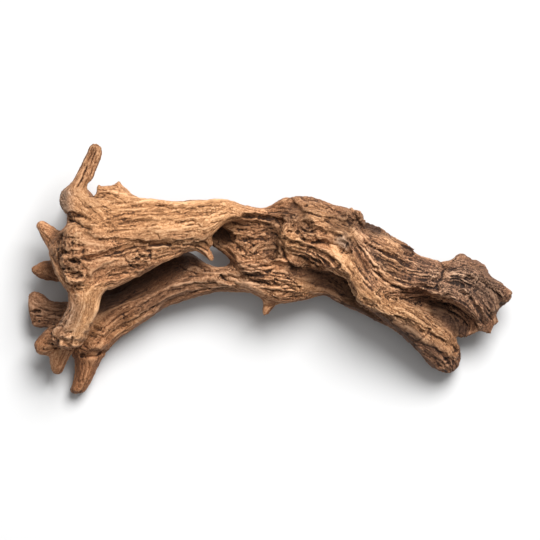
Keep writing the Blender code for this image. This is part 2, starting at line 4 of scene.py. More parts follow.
import bmesh
import bpy
import numpy as np
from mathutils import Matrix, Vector


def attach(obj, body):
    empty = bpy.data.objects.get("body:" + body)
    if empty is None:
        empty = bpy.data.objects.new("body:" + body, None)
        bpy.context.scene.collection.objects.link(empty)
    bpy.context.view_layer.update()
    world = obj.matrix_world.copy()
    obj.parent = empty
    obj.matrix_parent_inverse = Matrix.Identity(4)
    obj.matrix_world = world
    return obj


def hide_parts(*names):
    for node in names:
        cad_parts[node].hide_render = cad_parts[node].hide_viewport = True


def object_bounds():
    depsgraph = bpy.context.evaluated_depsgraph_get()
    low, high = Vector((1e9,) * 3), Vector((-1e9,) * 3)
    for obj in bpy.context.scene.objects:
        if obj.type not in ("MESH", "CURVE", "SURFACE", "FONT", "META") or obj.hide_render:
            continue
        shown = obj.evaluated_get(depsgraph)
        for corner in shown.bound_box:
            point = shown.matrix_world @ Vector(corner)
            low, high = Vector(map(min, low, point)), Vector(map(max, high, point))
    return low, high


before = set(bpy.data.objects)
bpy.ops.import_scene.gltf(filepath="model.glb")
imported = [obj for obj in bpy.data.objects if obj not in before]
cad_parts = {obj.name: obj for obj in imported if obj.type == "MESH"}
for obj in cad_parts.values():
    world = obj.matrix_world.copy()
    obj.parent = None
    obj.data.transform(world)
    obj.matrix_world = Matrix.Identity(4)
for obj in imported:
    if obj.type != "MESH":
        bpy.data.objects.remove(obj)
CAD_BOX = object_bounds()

LENGTH = 0.484            # over all, from the flat root stub to the tip of the butt, m
BOARD_LENGTH = 484.0      # the same length on the board, in board mm
MM = LENGTH / BOARD_LENGTH
RING = 64                 # points round a limb
RUNG_STEP = 4.0           # board mm between the loops of a loft
RIPPLES = ((5, 1.2), (9, 1.0), (14, 0.7))   # ridges round a limb and their heights in board mm
ROUND_POWER = 2.3         # superellipse power of a round limb's section
FLAT_POWER = 3.4          # superellipse power of a flat-topped limb's section
CAP_TURNS = (30, 55, 75)  # degrees round a limb's end at which it has a loop
CAP_LENGTH = 0.4          # length of a limb's round end, as a share of its half thickness
COARSE_VOXEL = 1.8        # board mm
FINE_VOXEL = 1.05         # board mm
SWELLING = 0.6            # board mm given back to the skin after it is smoothed
STRAY = 0.6               # board mm by which strokes stray from their paths
STROKE_STEP = 3.0         # board mm between the points of a stroke's path
CRACK_STRAY = 0.25        # board mm, the same for cracks
PIECE_TRIANGLES = 190000
SEED = 11
PHOTO_CENTRE = (270.0, 130.0)   # the middle of the photograph on the board

# Limbs seen from above. A rung is (x, y of one edge, x, y of the other edge, z of its middle, thickness).
LIMBS = {
    "crown_and_front_leg": [
        (62, 207, 87, 207, 86, 30), (60.5, 198, 104, 199, 82, 46), (66, 188, 116, 188, 80, 62),
        (73, 180, 120, 178, 76, 84), (62, 168, 120, 166, 72, 98), (51, 152, 120, 154, 70, 104),
        (54, 139, 118, 140, 72, 98), (59, 124, 112, 128, 76, 82), (67.5, 113, 107, 115, 80, 60),
        (71, 102, 100, 103, 84, 44), (67, 89, 98, 90, 83, 38), (58.5, 76, 93, 78, 79, 36),
        (53, 66, 88, 68, 74, 36), (55, 56, 82, 57, 70, 32),
    ],
    "upper_arm": [
        (80, 203, 80, 118, 78, 66), (104, 203, 108, 112, 80, 60), (131, 202, 133, 122, 82, 54),
        (150, 200, 153, 133, 84, 50), (175, 198.5, 176, 144, 85, 45), (200, 199.4, 196, 154, 84, 40),
        (218, 200.2, 209, 162, 83, 36), (232, 197.6, 226, 178, 79, 34), (246, 193, 243, 180, 76, 34),
        (264, 190.4, 262, 178, 72, 38), (288, 189, 288, 168, 70, 44),
    ],
    "centre_plank": [
        (206, 180, 210, 157, 44, 22), (217, 184, 218, 151, 47, 28), (226, 186, 228, 144, 50, 34),
        (234, 187, 237, 130, 53, 42), (246, 188, 246, 113, 56, 50), (262, 190, 262, 104, 57, 56),
        (280, 192, 280, 98, 57, 60), (300, 196, 300, 100, 56, 56), (312, 192, 312, 105, 52, 44),
    ],
    "lower_arm": [
        (296, 136, 286, 98, 48, 46), (262, 138, 258, 106, 47, 42), (240, 138, 240, 109.2, 46, 38),
        (219, 132, 219, 109, 44, 34), (203, 138, 201, 105, 42, 36), (189, 147, 184, 100, 40, 40),
        (165, 143, 166, 94, 38, 42), (140, 131, 150, 82, 36, 44), (117, 119, 132, 71, 34, 44),
        (97, 106, 118, 62, 32, 44), (80, 80, 108, 51, 28, 40), (70, 53, 101, 41, 23, 34),
        (75, 38, 97, 33, 18, 31), (73.5, 21, 91, 20, 14, 30), (69, 8.5, 85, 9.5, 12, 27),
    ],
    "fan_stub": [
        (94, 98, 92, 62, 33, 34), (72, 97, 72, 64, 32, 26), (56, 97, 58, 70, 31, 22),
        (49, 99, 47, 72.5, 30, 20), (42, 105.5, 38, 72.5, 30, 19), (35, 108.5, 32.5, 74, 30, 17),
        (29, 107, 30, 84, 30, 14),
    ],
    "middle_foot": [
        (50, 64, 78, 60, 46, 26), (50, 47, 70, 46, 40, 25), (50, 37, 65.5, 38, 36, 22),
        (51.5, 28, 60.5, 27, 31, 17),
    ],
    "left_knob": [
        (68, 74, 68, 50, 50, 28), (50, 73, 54, 49, 47, 25), (41, 65, 46, 46, 44, 23),
        (35, 58.5, 39, 46, 43, 19),
    ],
    "pointed_stub": [
        (64, 141, 64, 118, 42, 27), (53, 139, 54, 120, 42, 25), (44, 139, 46, 120.5, 42, 21),
        (37, 135.5, 39, 123, 42, 16), (31, 132, 32, 127, 42, 9),
    ],
    "left_stub": [
        (76, 154, 58, 140, 64, 50), (64, 164, 49, 152, 64, 36), (57, 170, 43, 161, 65, 24),
        (51, 174.5, 40, 167.5, 66, 17), (43.5, 179, 36.5, 174, 67, 12),
    ],
    "horn": [
        (91.5, 254.6, 102.6, 250.4, 100, 15), (88, 247, 102, 243, 98, 15), (84, 238, 98.6, 235, 96, 16),
        (78, 226, 93.6, 223, 94, 18), (72, 216, 88.5, 213, 92, 20), (64, 209, 88, 204, 88, 28),
        (61, 199, 96, 194, 84, 36),
    ],
    "broken_plate": [
        (97.5, 215.5, 97.5, 194, 86, 15), (103, 213, 103, 192, 86, 18), (113, 214, 114, 190, 86, 20),
        (122, 213, 124, 188, 85, 22), (131, 205, 133, 186, 84, 28), (142, 200, 143, 184, 84, 30),
    ],
    "hump_and_trunk": [
        (267, 192, 270, 168, 68, 26), (274, 195.5, 273, 146, 68, 46), (282.5, 200, 281, 142, 67, 66),
        (296, 201.8, 294, 138, 66, 78), (310, 202.6, 312, 134, 64, 84), (330, 195.6, 328, 124, 62, 86),
        (348, 189, 344, 114, 60, 84), (365, 177.5, 362, 98, 58, 80), (384, 168.5, 382, 86, 55, 76),
        (400, 156.5, 402, 82, 52, 74), (418, 144, 424, 82, 50, 72), (435, 138.2, 440, 72, 48, 70),
        (450, 137.4, 452, 63.5, 46, 66), (462, 145.4, 465, 61, 44, 60), (477, 134.6, 479, 69.5, 43, 52),
        (490, 124.2, 490, 79, 42, 40), (502, 116.5, 499, 90.5, 42, 28), (511.5, 108, 508.5, 99, 42, 16),
    ],
    "under_body": [
        (274, 144, 268, 97, 46, 44), (294, 146, 288, 99, 44, 44), (312, 144, 308, 101, 42, 42),
        (330, 136, 326, 105, 40, 42), (348, 126, 338, 98, 40, 42), (366, 116, 353, 91, 42, 42),
        (386, 106, 376, 80, 42, 42), (404, 94, 397, 71, 42, 38),
    ],
    "right_leg": [
        (322, 166, 302, 138, 72, 36), (338, 156, 319, 130, 76, 42), (353, 146, 336, 128, 78, 44),
        (364, 137, 348, 121, 78, 44), (374, 126, 353, 109, 76, 46), (386, 115, 361, 97, 73, 46),
        (401, 103, 379, 84.5, 67, 46), (418, 92.5, 400, 67.5, 60, 44), (437, 77.5, 418, 50.5, 50, 42),
        (453.5, 63.5, 430, 37, 38, 38), (460.5, 50, 440, 29, 28, 35), (460, 38, 447, 27, 23, 28),
    ],
}

# Roots and stubs that leave the board's plane: (x, y, z, radius) along the middle.
ROOTS = {
    "twig": [(272, 104, 46, 9), (268, 94, 47, 5.5), (265, 87, 48, 3.4)],
    "drip": [(186, 155.5, 82, 8.5), (198, 156.5, 84, 7.5), (205.5, 150, 83, 5.6), (209, 145, 82, 4.2),
             (212, 140.5, 81, 3)],
    "lip": [(188, 163, 88, 8), (202, 162, 88, 6.5), (208, 159, 86, 4.5), (211.5, 156.5, 85, 2.6)],
    "back_root": [(90, 184, 50, 20), (84, 192, 26, 15), (79, 200, 8, 13), (78, 201, 2, 11)],
    "butt_heel": [(466, 116, 34, 26), (472, 120, 16, 20), (475, 122, 5, 14)],
    "thorn": [(120, 207, 84, 7), (119, 213.5, 84, 3.6), (118.6, 217.8, 84, 2.5)],
    "plate_corner": [(100, 206, 86, 7), (98.2, 212, 86, 3.4), (97.6, 215.5, 86, 1.9)],
    "trunk_knob": [(350, 170, 84, 14), (354, 179, 86, 10.5)],
    "trunk_spike": [(392, 154, 62, 8), (405, 153, 64, 4), (414.5, 151, 64, 2)],
    "butt_corner": [(474, 124, 46, 12), (479, 130, 46, 4)],
    "butt_spur": [(484, 80, 42, 9), (487.5, 72, 42, 5.5), (489.5, 67.5, 42, 3)],
    "butt_tooth": [(486, 84, 42, 8), (493, 80.5, 42, 5), (498, 78.5, 42, 2.6)],
}

# These limbs lie over hollows in the others and are fused on after those are cut.
FRONT_LIMBS = ("crown_and_front_leg", "upper_arm", "horn", "broken_plate", "left_stub", "right_leg", "drip",
               "lip", "thorn", "plate_corner")

# These limbs have flat tops and sharp edges.
FLAT_LIMBS = ("crown_and_front_leg", "upper_arm", "right_leg")

# Hollows cut out of the limbs at the back, each a round worm-hole along (x, y, z, radius).
BACK_HOLLOWS = {
    "under_ledge": [(290, 128, 88, 5), (300, 127, 83, 9), (311, 124, 77, 13), (322, 119, 72, 16),
                    (336, 114, 70, 18), (350, 104, 66, 16), (364, 92, 62, 12), (378, 82, 58, 8)],
    "under_arm_end": [(204, 168, 56, 8), (213, 165.5, 54, 12), (223, 163.5, 60, 10), (232, 162.3, 67, 6.5),
                      (237, 161.5, 71, 3.5)],
    "behind_leg": [(396, 104, 94, 6), (411, 99, 86, 12), (427, 91, 74, 17), (443, 82, 66, 21),
                   (460, 66, 62, 24)],
    "arm_scoop": [(96, 90, 54, 6), (110, 105, 50, 15), (130, 119, 52, 20), (152, 131, 56, 22),
                  (174, 141, 62, 18), (190, 147, 72, 9)],
    "arm_gap": [(105, 103, 34, 4), (113, 111, 32, 8), (124, 118, 34, 8), (134, 123, 38, 4)],
    "arm_gap_end": [(148, 131, 42, 4), (158, 134.5, 41, 7), (167, 136.5, 43, 4)],
}

# Hollows cut out of the whole.
FRONT_HOLLOWS = {
    "leg_recess": [(398, 74, 48, 4), (408, 66, 48, 8), (416, 60, 46, 8), (424, 52, 42, 4)],
    "crown_recess": [(54, 164, 98, 4), (60, 160, 104, 7), (66, 152, 111, 6)],
    "arm_knot": [(128, 139, 112, 3), (134, 136, 111, 4), (141, 141, 111, 5), (149, 145, 112, 4)],
    "butt_notch": [(500.5, 88.5, 24, 3), (500.5, 88.5, 72, 3)],
    "butt_notch_below": [(497, 72.5, 24, 2.4), (497, 72.5, 72, 2.4)],
    "plate_dip_left": [(105.5, 217, 60, 2.8), (105.5, 217, 112, 2.8)],
    "plate_dip_right": [(111.5, 216.8, 60, 3), (111.5, 216.8, 112, 3)],
    "plate_notch_left": [(90.9, 206.8, 24, 3.2), (90.9, 206.8, 122, 3.2)],
    "plate_notch_right": [(94.2, 206.8, 24, 3.2), (94.2, 206.8, 122, 3.2)],
    "plate_notch_mouth": [(92.4, 214, 24, 5), (92.4, 214, 122, 5)],
}

# Strokes on the side seen from above: (kind, width, height, path). A cut sinks the skin along the path and a
# swell lifts it. A ledge drops the skin on the right-hand side of the path and leaves its left-hand side.
STROKES = [
    # crown and horn
    ("cut", 5, 4, [(68, 182), (76, 184), (88, 181)]),
    ("cut", 4, 3.5, [(70, 179), (78, 177), (90, 171)]),
    ("cut", 9, 3, [(92, 183), (115, 186), (140, 189), (175, 190), (205, 187)]),
    ("ledge", 6, 3.5, [(84, 172), (92, 165), (104, 161), (122, 161), (152, 158)]),
    ("ledge", 8, 4, [(92, 142), (104, 146), (118, 149), (130, 153), (150, 155), (176, 158)]),
    ("cut", 3.5, 3, [(64, 151), (61, 142), (60, 130), (65, 119)]),
    ("cut", 3.5, 3, [(63, 148), (72, 147), (85, 149)]),
    ("cut", 3, 3, [(71, 140), (80, 138)]),
    ("cut", 3.5, 3.5, [(64, 132), (71, 131)]),
    ("cut", 4, 3.5, [(69, 126), (81, 125)]),
    ("cut", 3, 3, [(72, 159), (76, 155), (84, 154)]),
    ("cut", 3.5, 3, [(85, 143), (93, 141)]),
    ("cut", 3, 3, [(84, 133), (88, 128), (88, 122)]),
    ("swell", 7, 3, [(66, 142), (78, 143)]),
    ("swell", 6, 3, [(70, 120), (84, 119)]),
    ("swell", 5, 2.5, [(74, 133), (80, 132)]),
    ("ledge", 5, 4, [(91, 120), (84, 114), (74, 112), (67, 116)]),
    ("cut", 4, 4, [(73, 110), (82, 110)]),
    # front leg and the feet behind it
    ("cut", 5, 3, [(56, 57), (62, 60), (70, 57), (76, 60), (82, 58)]),
    ("cut", 4, 3, [(57, 62), (56, 52)]),
    ("cut", 3, 4, [(35, 88.5), (38, 88.5)]),
    ("cut", 3.5, 2, [(92, 74), (98, 71), (103, 70)]),
    ("cut", 3.5, 2, [(88, 66), (95, 62), (100, 61)]),
    ("swell", 5, 3, [(80, 50), (94, 52), (106, 57)]),
    ("cut", 3.5, 3, [(82, 45), (93, 45), (104, 48)]),
    ("swell", 4, 2.5, [(59, 62), (68, 64), (77, 61)]),
    # lower arm: scooped above its crest
    ("swell", 8, 3, [(220, 125), (200, 120), (180, 115), (162, 106), (146, 95), (130, 83)]),
    ("cut", 4, 2.5, [(104, 62), (140, 84), (170, 99), (200, 109), (236, 113)]),
    ("cut", 4, 2.5, [(116, 74), (150, 97), (184, 111), (214, 116)]),
    ("cut", 4, 3, [(196, 128), (210, 128), (222, 127)]),
    # upper arm
    ("cut", 3.5, 5, [(90, 141), (105, 146), (120, 151), (135, 155), (150, 156.5), (175, 158)]),
    ("cut", 4, 3, [(96, 126), (112, 130), (130, 131), (146, 134)]),
    ("cut", 4, 3, [(99, 120), (115, 124), (136, 127)]),
    ("cut", 4, 3, [(150, 147), (165, 150), (179, 152)]),
    ("cut", 4, 3, [(86, 112), (94, 119), (104, 131), (116, 137)]),
    ("cut", 5, 3, [(104, 174), (130, 177), (160, 176), (196, 176)]),
    ("cut", 4, 2.5, [(112, 196), (140, 195), (170, 193)]),
    # arm's end, plank and hollow
    ("ledge", 6, 4, [(176, 158), (190, 159), (204, 157), (210, 154)]),
    ("cut", 3.5, 7, [(245, 183), (256, 184), (266, 182), (276, 181), (279, 175)]),
    ("cut", 6, 7, [(279, 180), (276, 170), (273, 158), (274, 148), (271, 143)]),
    ("cut", 4, 2.5, [(240, 171), (256, 168), (271, 167)]),
    ("cut", 4, 3, [(246, 160), (262, 161), (273, 160)]),
    ("cut", 4, 2.5, [(236, 153), (250, 151), (268, 150)]),
    ("cut", 4, 2.5, [(240, 143), (254, 141), (268, 143)]),
    ("swell", 4, 2.5, [(251, 149), (259, 155)]),
    ("ledge", 6, 4, [(222, 125), (233, 125), (246, 124), (258, 127), (268, 131)]),
    ("cut", 4, 3, [(222, 124), (230, 119), (238, 116)]),
    ("cut", 4, 2.5, [(250, 118), (274, 116), (296, 112), (312, 106)]),
    ("cut", 4, 2.5, [(266, 108), (284, 107), (300, 103)]),
    ("ledge", 9, 7, [(268, 136), (278, 138), (287, 137), (296, 134)]),
    # hump
    ("cut", 13, 8, [(276, 186), (288, 188), (297, 189), (301, 184)]),
    ("ledge", 8, 5, [(295, 199), (301, 195), (304, 189), (304, 183)]),
    ("swell", 4, 3, [(282, 181), (293, 181), (301, 182), (306, 181.5), (310, 177), (318, 174),
                     (330, 171), (342, 168)]),
    ("cut", 8, 8, [(306, 176), (304, 172), (298, 171)]),
    ("cut", 4, 4, [(306, 179), (310, 173), (313, 169)]),
    ("ledge", 4, 4, [(301, 172), (309, 169), (318, 170), (328, 167), (338, 164)]),
    ("swell", 10, 4, [(286, 160), (294, 157)]),
    ("ledge", 4, 5, [(281, 150), (281, 158), (283, 163), (288, 167)]),
    ("cut", 4, 5, [(289, 167), (295, 165.5), (301, 166)]),
    ("cut", 3, 5, [(285, 160), (292, 157.5), (300, 155)]),
    ("ledge", 4, 5, [(300, 166), (304, 163), (308, 160), (314, 158), (320, 159), (325, 160)]),
    ("cut", 7, 7, [(317, 158), (326, 156), (336, 152), (344, 146)]),
    ("ledge", 5, 4, [(336, 162), (343, 160), (347, 157), (350, 151), (350, 144)]),
    ("cut", 7, 6, [(330, 179), (338, 177), (346, 175), (352, 178), (359, 177), (364, 173)]),
    ("swell", 5, 4, [(345, 186), (351, 188.5), (358, 186.5), (361, 181)]),
    ("cut", 3, 5, [(352, 187), (356, 183), (357, 180)]),
    ("cut", 4, 4, [(367, 176), (373, 173)]),
    ("cut", 3, 3, [(382, 169), (392, 165)]),
    ("cut", 3, 3, [(288, 149), (300, 147), (312, 142), (322, 133)]),
    ("cut", 3, 3, [(296, 152), (308, 149), (318, 143), (327, 136)]),
    ("cut", 3, 3, [(310, 150), (320, 147), (330, 141), (338, 133)]),
    ("cut", 6, 4, [(286, 146), (298, 141), (310, 137), (320, 132)]),
    ("cut", 3, 3, [(305, 195), (320, 192), (336, 188), (344, 184)]),
    ("cut", 3, 3, [(303, 200), (312, 199.5), (320, 197)]),
    # trunk grooves
    ("cut", 4, 5, [(350, 160), (357, 150), (361, 140), (368, 130), (374, 121)]),
    ("cut", 4, 4, [(366, 158), (380, 150), (395, 143), (409, 136)]),
    ("cut", 4, 4, [(372, 132), (382, 121), (394, 114), (410, 110), (430, 111)]),
    ("cut", 4, 3, [(378, 142), (392, 132), (408, 126), (428, 122)]),
    ("cut", 5, 4, [(390, 126), (404, 118), (420, 114), (436, 112)]),
    ("cut", 10, 8, [(386, 107), (400, 103), (414, 100.5), (430, 99.5), (446, 98)]),
    ("cut", 5, 4, [(442, 136), (442, 126), (437, 118), (437, 111)]),
    ("cut", 5, 4, [(446, 119), (457, 117), (470, 114), (480, 112)]),
    ("cut", 4, 5, [(468, 123), (474, 121)]),
    ("cut", 7, 6, [(482, 119), (490, 112), (497, 104), (500, 97)]),
    ("cut", 4, 4, [(462, 108), (472, 98), (480, 86), (484, 76)]),
    # hollow between the butt and the right leg
    ("cut", 9, 5, [(446, 96), (458, 86), (468, 74)]),
    # ledge over the dark hollow, and the crest that runs on from it down the right leg
    ("ledge", 6, 6, [(318, 132), (332, 131), (341, 129), (347, 124), (351, 117), (355, 110), (356, 104)]),
    ("ledge", 8, 5, [(350, 102), (362, 95), (378, 88), (395, 83), (412, 77), (424, 70)]),
    ("cut", 6, 4, [(390, 102), (397, 101)]),
    ("cut", 3, 3, [(429, 68), (438, 62), (448, 54), (457, 50)]),
    ("cut", 3, 2, [(420, 59), (432, 52), (442, 45), (449, 38)]),
    ("cut", 3, 2, [(424, 48), (434, 41), (442, 33)]),
]


def smooth_rows(rows, step):
    """Rows read at every step along a Catmull-Rom curve through the given ones."""
    rows = np.array(rows, float)
    padded = np.vstack([2 * rows[0] - rows[1], rows, 2 * rows[-1] - rows[-2]])
    dense = []
    for i in range(1, len(rows)):
        a, b, c, d = padded[i - 1:i + 3]
        count = max(2, math.ceil(np.linalg.norm((c - b)[:4]) / step))
        for t in np.arange(count) / count:
            dense.append(0.5 * (2 * b + (c - a) * t + (2 * a - 5 * b + 4 * c - d) * t ** 2
                                + (3 * b - a - 3 * c + d) * t ** 3))
    dense.append(rows[-1])
    return np.array(dense)


def ripple(count, angle, seed):
    """Heights of the ridges that run along a limb, a row for each of its loops."""
    along = np.arange(count)[:, None] * RUNG_STEP
    height = np.zeros((count, len(angle)))
    for i, (ridges, size) in enumerate(RIPPLES):
        drift = 0.9 * np.sin(along / 31 + seed * 2.1 + i) + 0.5 * np.sin(along / 13 + seed + 2.3 * i)
        strength = 0.75 + 0.35 * np.sin(along / 22 + 1.7 * seed + i)
        height += size * strength * np.sin(ridges * angle + drift + seed + 1.9 * i)
    return height


def limb_loops(rungs, seed, power):
    """Closed loops of points across a limb, with a round end added beyond each end rung."""
    dense = smooth_rows(rungs, RUNG_STEP)
    first = np.column_stack([dense[:, 0:2], dense[:, 4]])
    second = np.column_stack([dense[:, 2:4], dense[:, 4]])
    middle, half, rise = (first + second) / 2, (second - first) / 2, dense[:, 5] / 2
    angle = np.linspace(0, 2 * math.pi, RING, endpoint=False)
    across = np.sign(np.cos(angle)) * np.abs(np.cos(angle)) ** (2 / power)
    up = np.sign(np.sin(angle)) * np.abs(np.sin(angle)) ** (2 / power)

    width = np.linalg.norm(half, axis=1)
    ridges = ripple(len(dense), angle, seed) * np.minimum(1, np.minimum(width, rise) / 16)[:, None]

    def loop(i, shrink=1.0, shift=0.0):
        wide = across * (1 + ridges[i] / width[i]) * shrink
        high = up * (1 + ridges[i] / rise[i]) * shrink
        return middle[i] + shift + wide[:, None] * half[i] + high[:, None] * np.array([0, 0, rise[i]])

    def cap(end, inner):
        out = middle[end] - middle[inner]
        out *= CAP_LENGTH * min(rise[end], np.linalg.norm(half[end])) / np.linalg.norm(out)
        return [loop(end, math.cos(t), out * math.sin(t)) for t in np.radians(CAP_TURNS)]

    return cap(0, 1)[::-1] + [loop(i) for i in range(len(dense))] + cap(-1, -2)


def root_loops(stations):
    """Closed round loops along a root that may turn any way."""
    dense = smooth_rows(stations, RUNG_STEP)
    path, radius = dense[:, :3], dense[:, 3]
    tangent = np.gradient(path, axis=0)
    tangent /= np.linalg.norm(tangent, axis=1)[:, None]
    side = np.cross(tangent[0], (0.3, 0.5, 0.8))
    angle = np.linspace(0, 2 * math.pi, RING, endpoint=False)
    spokes = []
    for t in tangent:
        side = side - t * side.dot(t)
        side /= np.linalg.norm(side)
        spokes.append(np.cos(angle)[:, None] * side + np.sin(angle)[:, None] * np.cross(t, side))
    loops = [path[i] + spokes[i] * radius[i] for i in range(len(path))]
    for turn in np.radians(CAP_TURNS):
        tip = path[-1] + tangent[-1] * radius[-1] * 0.8 * math.sin(turn)
        loops.append(tip + spokes[-1] * radius[-1] * math.cos(turn))
    return loops


def add_loft(bm, loops):
    """Adds the loops to bm as one closed tube."""
    rows = [[bm.verts.new(p) for p in loop] for loop in loops]
    for near, far in zip(rows, rows[1:]):
        for i in range(RING):
            j = (i + 1) % RING
            bm.faces.new((near[i], near[j], far[j], far[i]))
    bm.faces.new(rows[0][::-1])
    bm.faces.new(rows[-1])


def closed_mesh(bm, name):
    """The surfaces in bm as a new mesh. bm is freed."""
    bmesh.ops.recalc_face_normals(bm, faces=bm.faces)
    mesh = bpy.data.meshes.new(name)
    bm.to_mesh(mesh)
    bm.free()
    return mesh


def add_limbs(bm, front):
    """Adds the limbs and roots at the front, or all the others, as closed tubes that run into each other."""
    for seed, (name, rungs) in enumerate(LIMBS.items()):
        if (name in FRONT_LIMBS) == front:
            power = FLAT_POWER if name in FLAT_LIMBS else ROUND_POWER
            add_loft(bm, limb_loops(rungs, seed, power))
    for name, stations in ROOTS.items():
        if (name in FRONT_LIMBS) == front:
            add_loft(bm, root_loops(stations))


def hollows_mesh(hollows):
    """The given hollows as closed worm-holes in one mesh."""
    bm = bmesh.new()
    for stations in hollows.values():
        add_loft(bm, root_loops(stations))
    return closed_mesh(bm, "hollows")


def through_modifiers(mesh, settings):
    """The mesh as the given modifiers leave it, each a pair of its type and its values by name."""
    obj = bpy.data.objects.new("work", mesh)
    bpy.context.scene.collection.objects.link(obj)
    for kind, values in settings:
        modifier = obj.modifiers.new(kind.lower(), kind)
        for name, value in values.items():
            setattr(modifier, name, value)
    graph = bpy.context.evaluated_depsgraph_get()
    made = bpy.data.meshes.new_from_object(obj.evaluated_get(graph))
    bpy.data.objects.remove(obj)
    return made


def remesh(voxel):
    """The modifier that fuses tubes which run into each other, at the given fineness."""
    return ("REMESH", {"mode": "VOXEL", "voxel_size": voxel, "adaptivity": 0.0})


def read_points(mesh):
    """The mesh's points, a row each."""
    points = np.empty(len(mesh.vertices) * 3, np.float32)
    mesh.vertices.foreach_get("co", points)
    return points.reshape(-1, 3).astype(float)


def write_points(mesh, points):
    """Moves the mesh's points to the given rows."""
    mesh.vertices.foreach_set("co", points.astype(np.float32).ravel())
    mesh.update()


def read_normals(mesh):
    """The normals at the mesh's points, a row each."""
    normals = np.empty(len(mesh.vertices) * 3, np.float32)
    mesh.vertex_normals.foreach_get("vector", normals)
    return normals.reshape(-1, 3).astype(float)


def seen_from_above(points, cell=2.0, depth=7.0):
    """1 for points on the top of the skin, falling to 0 for those well below it."""
    low = points.min(axis=0)
    across = ((points[:, :2] - low[:2]) / cell).astype(int) + 1
    tops = np.full(across.max(axis=0) + 2, -1e9)
    np.maximum.at(tops, (across[:, 0], across[:, 1]), points[:, 2])
    below = tops[across[:, 0], across[:, 1]] - points[:, 2]
    return np.clip(2 - below / depth, 0, 1)


def along_path(points, path):
    """(distance to the path, distance to its right-hand side) of each point, on the board."""
    nearest = np.full(len(points), 1e9)
    right = np.zeros(len(points))
    for a, b in zip(path, path[1:]):
        run = b - a
        t = np.clip((points - a) @ run / run.dot(run), 0, 1)
        gap = points - (a + t[:, None] * run)
        distance = np.hypot(gap[:, 0], gap[:, 1])
        closer = distance < nearest
        nearest[closer] = distance[closer]
        side = (gap[:, 0] * run[1] - gap[:, 1] * run[0]) / np.linalg.norm(run)
        right[closer] = side[closer]
    return nearest, right


def stroke_height(kind, width, height, distance, right):
    """How far a stroke moves points at that distance from its path."""
    share = np.clip(1 - (distance / width) ** 2, 0, 1)
    if kind == "cut":
        return -height * share ** 1.5
    if kind == "swell":
        return height * share ** 2
    step = 1 / (1 + np.exp(-3.5 * right))
    return -height * step * np.clip(1 - distance / width, 0, 1) ** 0.8 + 0.2 * height * (1 - step) * share


def wobbled(places, stray):
    """The places on the board, each moved a little, so that strokes get ragged edges."""
    x, y = places[:, 0], places[:, 1]
    shift_x = np.sin(y / 1.7 + 2 * np.sin(x / 5.3)) + 0.7 * np.sin(x / 2.3 + y / 3.1)
    shift_y = np.sin(x / 2.1 + 2 * np.sin(y / 4.7)) + 0.7 * np.sin(y / 2.6 - x / 3.7)
    return places + stray * np.column_stack([shift_x, shift_y])


def carve(mesh, strokes, stray):
    """Moves the skin's points as the strokes say, which stray that much from their paths."""
    points, normals = read_points(mesh), read_normals(mesh)
    push = normals + (0, 0, 1)
    push /= np.maximum(np.linalg.norm(push, axis=1), 0.3)[:, None]
    seen = seen_from_above(points)
    places = wobbled(points[:, :2], stray)
    moved = points.copy()
    for kind, width, height, corners in strokes:
        path = smooth_rows(corners, STROKE_STEP)
        inside = ((places > path.min(axis=0) - width) & (places < path.max(axis=0) + width)).all(axis=1)
        near = np.nonzero(inside & (seen > 0))[0]
        distance, right = along_path(places[near], path)
        lift = stroke_height(kind, width, height, distance, right) * seen[near]
        moved[near] += push[near] * lift[:, None]
    write_points(mesh, moved)


def swell(mesh, amount):
    """Moves the points outward by the given amount."""
    write_points(mesh, read_points(mesh) + read_normals(mesh) * amount)


def hollowed(mesh, hollows):
    """The mesh without the hollows, which are fused into one cutter first."""
    cutter = bpy.data.objects.new("cutter", through_modifiers(hollows_mesh(hollows), [remesh(COARSE_VOXEL)]))
    bpy.context.scene.collection.objects.link(cutter)
    cut = ("BOOLEAN", {"operation": "DIFFERENCE", "solver": "MANIFOLD", "object": cutter})
    made = through_modifiers(mesh, [cut])
    bpy.data.objects.remove(cutter)
    return made


def wood_skin(voxel):
    """The carved skin at a voxel size, on the board."""
    smooth = ("SMOOTH", {"factor": 0.5, "iterations": 3})
    bm = bmesh.new()
    add_limbs(bm, front=False)
    back = hollowed(through_modifiers(closed_mesh(bm, "back"), [remesh(COARSE_VOXEL)]), BACK_HOLLOWS)
    bm = bmesh.new()
    add_limbs(bm, front=True)
    bm.from_mesh(through_modifiers(back, [remesh(COARSE_VOXEL)]))
    skin = through_modifiers(closed_mesh(bm, "skin"), [remesh(COARSE_VOXEL), smooth])
    swell(skin, SWELLING)
    skin = through_modifiers(hollowed(skin, FRONT_HOLLOWS), [remesh(COARSE_VOXEL), smooth, remesh(voxel)])
    carve(skin, STROKES, STRAY)
    return through_modifiers(skin, [remesh(voxel)])


# Grain

